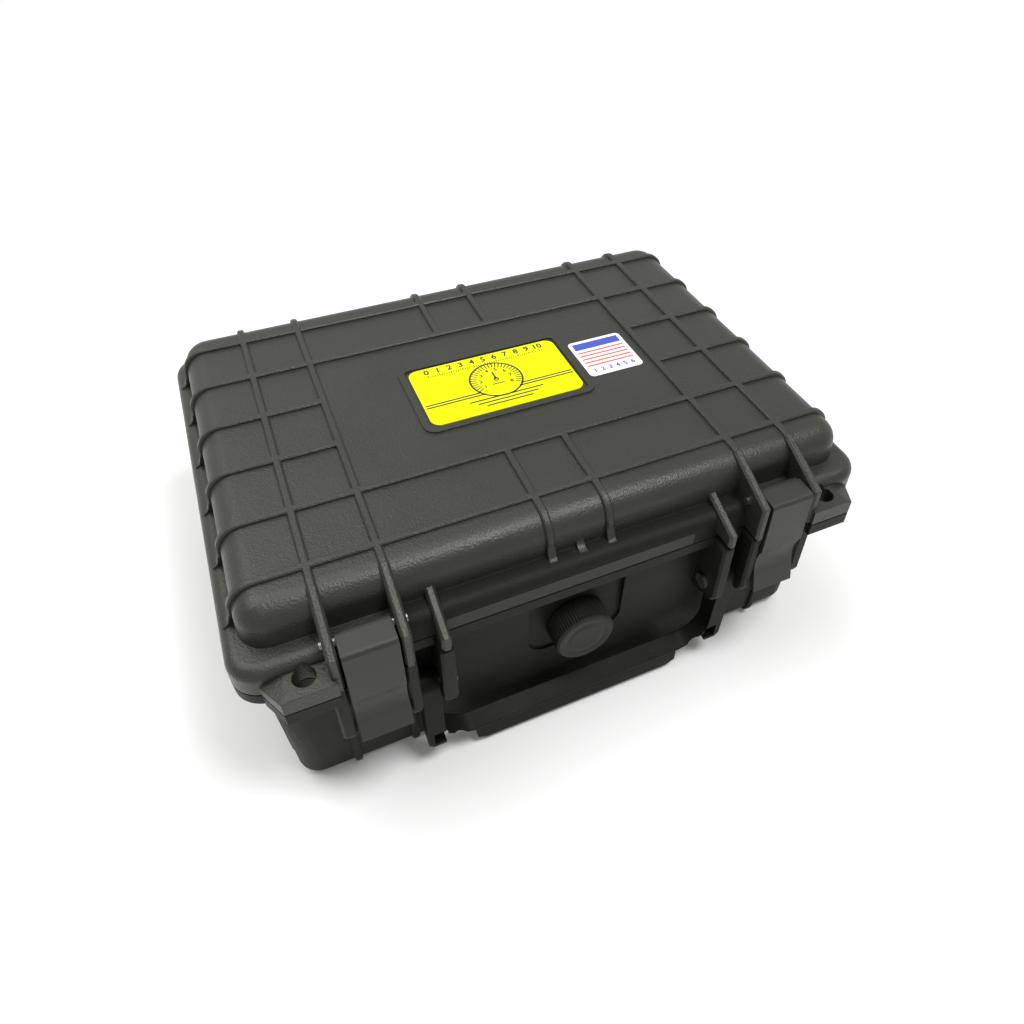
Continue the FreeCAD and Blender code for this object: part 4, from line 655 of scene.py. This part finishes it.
dress(lamp_lens("green_polycarbonate", "#2fae44"), "lamp_lenses")
INDEX_HALF = 0.6
VOLUME_INDEX = (2.5, 7.6)
VOLUME_START = math.radians(240)
MODE_INDEX = 9.5
volume_spot = middle("volume_knob")
volume_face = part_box("volume_knob")[1].z
index_line = printed("volume_index", volume_face,
                     bars=[(VOLUME_INDEX[0], -INDEX_HALF, VOLUME_INDEX[1], INDEX_HALF)])
index_line.data.transform(Matrix.Rotation(VOLUME_START, 4, "Z"))
index_line.data.transform(Matrix.Translation((volume_spot.x, volume_spot.y, 0)))
finish(index_line, white_ink, "volume_knob", replace=False)
mode_spot = middle("mode_knob") / MM
mode_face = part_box("mode_knob")[1].z
index_line = printed("mode_index", mode_face, bars=[(mode_spot.x - INDEX_HALF, mode_spot.y,
                                                     mode_spot.x + INDEX_HALF, mode_spot.y + MODE_INDEX)])
finish(index_line, white_ink, "mode_knob", replace=False)


# Lid shell. The upper half of the case, of the same polypropylene as the base with a deeper grain.
# Its ribs run over the rounded edge into the webs of the latches; a cord seal lies in its groove.
lid_plastic = grained_polypropylene("leather_grained_black_polypropylene", "#1f201c", "#272723",
                                    rough=0.38, gloss=0.4, grain_mm=0.5, grain_lift=0.8, edge_mm=0.5)
# Painted shade: a darker, duller copy of the lid's plastic for the front of the rim between the latches,
# which lies in the shade under the dome.
painted_shade_flange_plastic = grained_polypropylene("painted_shade_black_polypropylene", "#131411", "#191a16",
                                       rough=0.55, gloss=0.12, grain_mm=0.6, grain_lift=0.7, edge_mm=0.5)
FLANGE_TOP = 91.75 * MM
FLANGE_FRONT = (-90.05 * MM, -70 * MM)
FLANGE_HALF = 66 * MM
lid = smooth_copy("lid_shell")
finish(lid, lid_plastic, "lid_shell")
lid.data.materials.append(painted_shade_flange_plastic)
# Faces on the front of the rim, below the flange top, take the painted shade.
for face in lid.data.polygons:
    on_front = FLANGE_FRONT[0] < face.center.y < FLANGE_FRONT[1] and abs(face.center.x) < FLANGE_HALF
    if on_front and face.center.z < FLANGE_TOP:
        face.material_index = 1
seal_rubber = moulded_plastic("black_nitrile_rubber", "#131313", "#1c1c1b", rough=0.62, grain_mm=0.4,
                              grain_lift=0.4)
dress(seal_rubber, "lid_gasket", "valve_seal")


# Label, sticker and strip. Printed vinyl films stuck to the lid: a yellow one in the raised frame,
# a white one beside it, and a bare dark tape along the front of the rim.
def vinyl_film(name, colour, aged_colour, rough):
    """Vinyl film: glossy under its clear laminate, faintly wavy where it is stuck down."""
    material, tree, place, cloud, tone = plastic_tree(name, colour, aged_colour, cloud_mm=14)
    wave = add(tree, "ShaderNodeTexNoise", {"Vector": (place, "Object")}, Scale=1 / (7 * MM), Detail=2.0)
    bump = add(tree, "ShaderNodeBump", {"Height": (wave, "Fac")}, Strength=0.12, Distance=0.15 * MM)
    shader = add(tree, "ShaderNodeBsdfPrincipled", {"Base Color": (tone, 2), "Normal": (bump, 0)},
                 Roughness=rough, IOR=1.5, Specular_IOR_Level=0.12)
    add(tree, "ShaderNodeOutputMaterial", {"Surface": (shader, 0)})
    return material


dress(vinyl_film("yellow_vinyl_film", "#dedf03", "#d8d902", rough=0.3), "label_plate")
dress(vinyl_film("white_vinyl_film", "#e6e6e2", "#dededa", rough=0.3), "inspection_sticker")
dress(moulded_plastic("bare_satin_tape", "#272824", "#2c2d28", rough=0.5, grain_mm=0.6, grain_lift=0.2,
                      gloss=0.2), "front_strip")
black_ink = printing_ink("black_screen_ink", "#1b1b14", "#26261a")
blue_ink = printing_ink("blue_screen_ink", "#2b3f9c", "#3549a6")
red_ink = printing_ink("red_screen_ink", "#c23a38", "#cb4a46")
EDGE = 0.75

label_low, label_high = [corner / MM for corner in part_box("label_plate")]
label_top = label_high.z * MM
DIAL_X = 0.5
DIAL_Y = 0.6
DIAL_RADIUS = 10.6
STRIPE_LOW = -7.4
STRIPE_STEP = 1.5
stripe_bars = []
for k in range(2):
    low = STRIPE_LOW + k * STRIPE_STEP
    gap = math.sqrt(DIAL_RADIUS ** 2 - (low + EDGE / 2 - DIAL_Y) ** 2)
    stripe_bars.append((label_low.x + EDGE, low, DIAL_X - gap, low + EDGE))
    stripe_bars.append((DIAL_X + gap, low, label_high.x - EDGE, low + EDGE))
SCALE_LEFT = -25.0
SCALE_STEP = 5.0
SCALE_SPLIT = 5
SCALE_LAST = 10
SCALE_FOOT = 11.6
LONG_MARK = 1.7
SHORT_MARK = 1.0
SCALE_FIGURE = 4.4
SCALE_FIGURE_RISE = 3.8
scale_words = []
scale_bars = []
for k in range(SCALE_LAST * SCALE_SPLIT + 1):
    x = SCALE_LEFT + k * SCALE_STEP / SCALE_SPLIT
    tall = LONG_MARK if k % SCALE_SPLIT == 0 else SHORT_MARK
    scale_bars.append((x - EDGE / 4, SCALE_FOOT, x + EDGE / 4, SCALE_FOOT + tall))
for k in range(SCALE_LAST + 1):
    scale_words.append((str(k), SCALE_FIGURE, SCALE_LEFT + k * SCALE_STEP, SCALE_FOOT + SCALE_FIGURE_RISE))
DIAL_START = math.radians(210)
DIAL_SWEEP = math.radians(240)
DIAL_LAST = 7
DIAL_SPLIT = 4
DIAL_FIGURE = 2.8
DIAL_FIGURE_REACH = 6.6
for k in range(DIAL_LAST + 1):
    angle = DIAL_START - DIAL_SWEEP * k / DIAL_LAST
    scale_words.append((str(k + 1), DIAL_FIGURE, DIAL_X + DIAL_FIGURE_REACH * math.cos(angle),
                        DIAL_Y + DIAL_FIGURE_REACH * math.sin(angle)))
FIELD_TOP = -10.6
FIELD_STEP = 2.0
FIELD_LEFT = -15
FIELD_RIGHT = 17
FIELD_INSET = 3
field_bars = []
for k in range(3):
    y = FIELD_TOP - FIELD_STEP * k
    field_bars.append((FIELD_LEFT + FIELD_INSET * k, y, FIELD_RIGHT - FIELD_INSET * k, y + EDGE))
NEEDLE_HALF = 0.4
NEEDLE_REACH = 5.0
FOOT_HALF = 2.6
FOOT_DROP = 3.2
FOOT_TALL = 0.6
HUB_RADIUS = 0.6
dial_bars = [(DIAL_X - NEEDLE_HALF, DIAL_Y, DIAL_X + NEEDLE_HALF, DIAL_Y + NEEDLE_REACH),
             (DIAL_X - FOOT_HALF, DIAL_Y - FOOT_DROP, DIAL_X + FOOT_HALF, DIAL_Y - FOOT_DROP + FOOT_TALL)]
label_bars = stripe_bars + scale_bars + field_bars + dial_bars
label_rings = [(DIAL_X, DIAL_Y, DIAL_RADIUS, 0.8), (DIAL_X, DIAL_Y, HUB_RADIUS, HUB_RADIUS)]
print_piece = printed("label_printing", label_top, scale_words, label_bars, label_rings, bold=0.03)
finish(print_piece, black_ink, "label_plate", replace=False)

dial_tick = shape_object("tick", fill_tick)
label_ticks = grown("label_dial_ticks", copies_round_an_axis,
                    {"Count": DIAL_LAST * DIAL_SPLIT + 1, "Start": DIAL_START,
                     "Step": -DIAL_SWEEP / (DIAL_LAST * DIAL_SPLIT),
                     "Reach": (DIAL_RADIUS - 1.2) * MM, "Shape": dial_tick, "Tilt": (0, 0, 0),
                     "Centre": (DIAL_X * MM, DIAL_Y * MM, label_top), "Material": black_ink})
bpy.data.objects.remove(dial_tick)
finish(label_ticks, black_ink, "label_plate", replace=False)

sticker_low, sticker_high = [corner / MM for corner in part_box("inspection_sticker")]
sticker_top = sticker_high.z * MM
HEADER_TALL = 4.6
MARGIN = 1.6
MONTH_FIGURE = 3.6
MONTH_LEFT = 3.6
MONTH_STEP = 3.55
MONTH_RISE = 3.4
LINE_RISE = 6.6
LINE_STEP = 2.4
LINE_TALL = 0.9
header_top = sticker_high.y - MARGIN
header = (sticker_low.x + MARGIN, header_top - HEADER_TALL, sticker_high.x - MARGIN, header_top)
month_words = []
for k in range(6):
    month_words.append((str(k + 1), MONTH_FIGURE, sticker_low.x + MONTH_LEFT + k * MONTH_STEP,
                        sticker_low.y + MONTH_RISE))
header_piece = printed("sticker_header", sticker_top, month_words, [header], bold=0.03)
finish(header_piece, blue_ink, "inspection_sticker", replace=False)
rule_bars = []
for k in range(5):
    y = sticker_low.y + LINE_RISE + k * LINE_STEP
    rule_bars.append((sticker_low.x + MARGIN, y, sticker_high.x - MARGIN, y + LINE_TALL))
finish(printed("sticker_rules", sticker_top, bars=rule_bars), red_ink, "inspection_sticker", replace=False)


# Latches and handle. Glass-filled nylon mouldings, smoother than the shells.
# The latches hook under the catches of the base; the handle folds down on its own two pins.
latch_nylon = grained_polypropylene("satin_black_glass_filled_nylon", "#252621", "#2b2c27",
                                    rough=0.4, gloss=0.3, grain_mm=0.4, grain_lift=0.14, edge_mm=0.5)
dress(latch_nylon, "latch_left", "latch_right")
# Painted shade: the handle takes a darker, duller copy of the latches' nylon, for the shade at the front of
# the case.
painted_shade_handle_nylon = grained_polypropylene("painted_shade_black_glass_filled_nylon", "#0f110e", "#141612",
                                     rough=0.42, gloss=0.06, grain_mm=0.4, grain_lift=0.16, edge_mm=0.5)
dress(painted_shade_handle_nylon, "handle")


# Relief valve. A nylon cap with a fine straight knurl round its rim and a shallow ring in its face,
# screwed on a steel stem with a collar inside the case.
dress(plated_steel, "valve_stem", "valve_collar")
cap_low, cap_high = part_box("valve_knob")
cap_axis = middle("valve_knob")
CAP_RADIUS = (cap_high.z - cap_low.z) / 2
cap_deep = cap_high.y - cap_low.y
RIDGES = 64
RIDGE_RADIUS = 0.42 * MM
RIDGE_SLOPE = 0.9 * MM
CAP_CORE = CAP_RADIUS - RIDGE_RADIUS * 1.2
CAP_CHAMFER = 0.6 * MM
CAP_CENTRE = 0.001 * MM
CAP_STEPS = 96
RIDGE_STEPS = 8


def fill_cap(form):
    """Body of the cap turned round Z, its face up: chamfer, ring and shallow dish."""
    outline = [(CAP_CENTRE, -cap_deep), (CAP_CORE, -cap_deep), (CAP_CORE, -CAP_CHAMFER),
               (CAP_CORE - CAP_CHAMFER * 0.55, -0.25 * MM), (CAP_CORE - CAP_CHAMFER, 0)]
    groove = [(8.9, 0), (8.6, -0.15), (8.1, -0.18), (6.9, -0.15), (6.6, -0.02)]
    dish = [(6.2, -0.02), (5.0, -0.1)]
    outline += [(radius * MM, height * MM) for radius, height in groove + dish]
    outline.append((CAP_CENTRE, -0.08 * MM))
    join_rings(form, [circle(form, radius, height, CAP_STEPS) for radius, height in outline])
    bmesh.ops.remove_doubles(form, verts=form.verts, dist=0.01 * MM)
    bmesh.ops.recalc_face_normals(form, faces=form.faces)


def fill_ridge(form):
    """One rounded ridge of the knurl, ended on a slope at the face."""
    ends = []
    for height, scale in ((-cap_deep, 1.0), (-CAP_CHAMFER - 0.2 * MM, 1.0), (-CAP_CHAMFER * 0.35, 0.35)):
        end = circle(form, RIDGE_RADIUS * scale, height, RIDGE_STEPS)
        for vertex in end:
            vertex.co.x -= (1 - scale) * RIDGE_SLOPE
        ends.append(end)
    join_rings(form, ends)
    form.faces.new(ends[-1])
    form.faces.new(list(reversed(ends[0])))
    bmesh.ops.recalc_face_normals(form, faces=form.faces)


cap_nylon = grained_polypropylene("matt_black_nylon", "#20211d", "#272824", rough=0.5, gloss=0.16,
                                  grain_mm=0.4, grain_lift=0.2, edge_mm=0.3)
FACE_FORWARD = (math.radians(90), 0, 0)
cap_place = (cap_axis.x, cap_low.y, cap_axis.z)
ridge = shape_object("ridge", fill_ridge)
knurl = grown("valve_cap_knurl", copies_round_an_axis,
              {"Count": RIDGES, "Start": 0.0, "Step": 2 * math.pi / RIDGES,
               "Reach": CAP_RADIUS - RIDGE_RADIUS, "Shape": ridge, "Tilt": FACE_FORWARD,
               "Centre": cap_place, "Material": cap_nylon})
bpy.data.objects.remove(ridge)
finish(knurl, cap_nylon, "valve_knob")
cap = shape_object("valve_cap", fill_cap)
cap.data.transform(Matrix.Translation(cap_place) @ Matrix.Rotation(math.radians(90), 4, "X"))
for face in cap.data.polygons:
    face.use_smooth = True
cap.modifiers.new("crisp_edges", "EDGE_SPLIT").split_angle = math.radians(40)
finish(settled(cap), cap_nylon, "valve_knob")
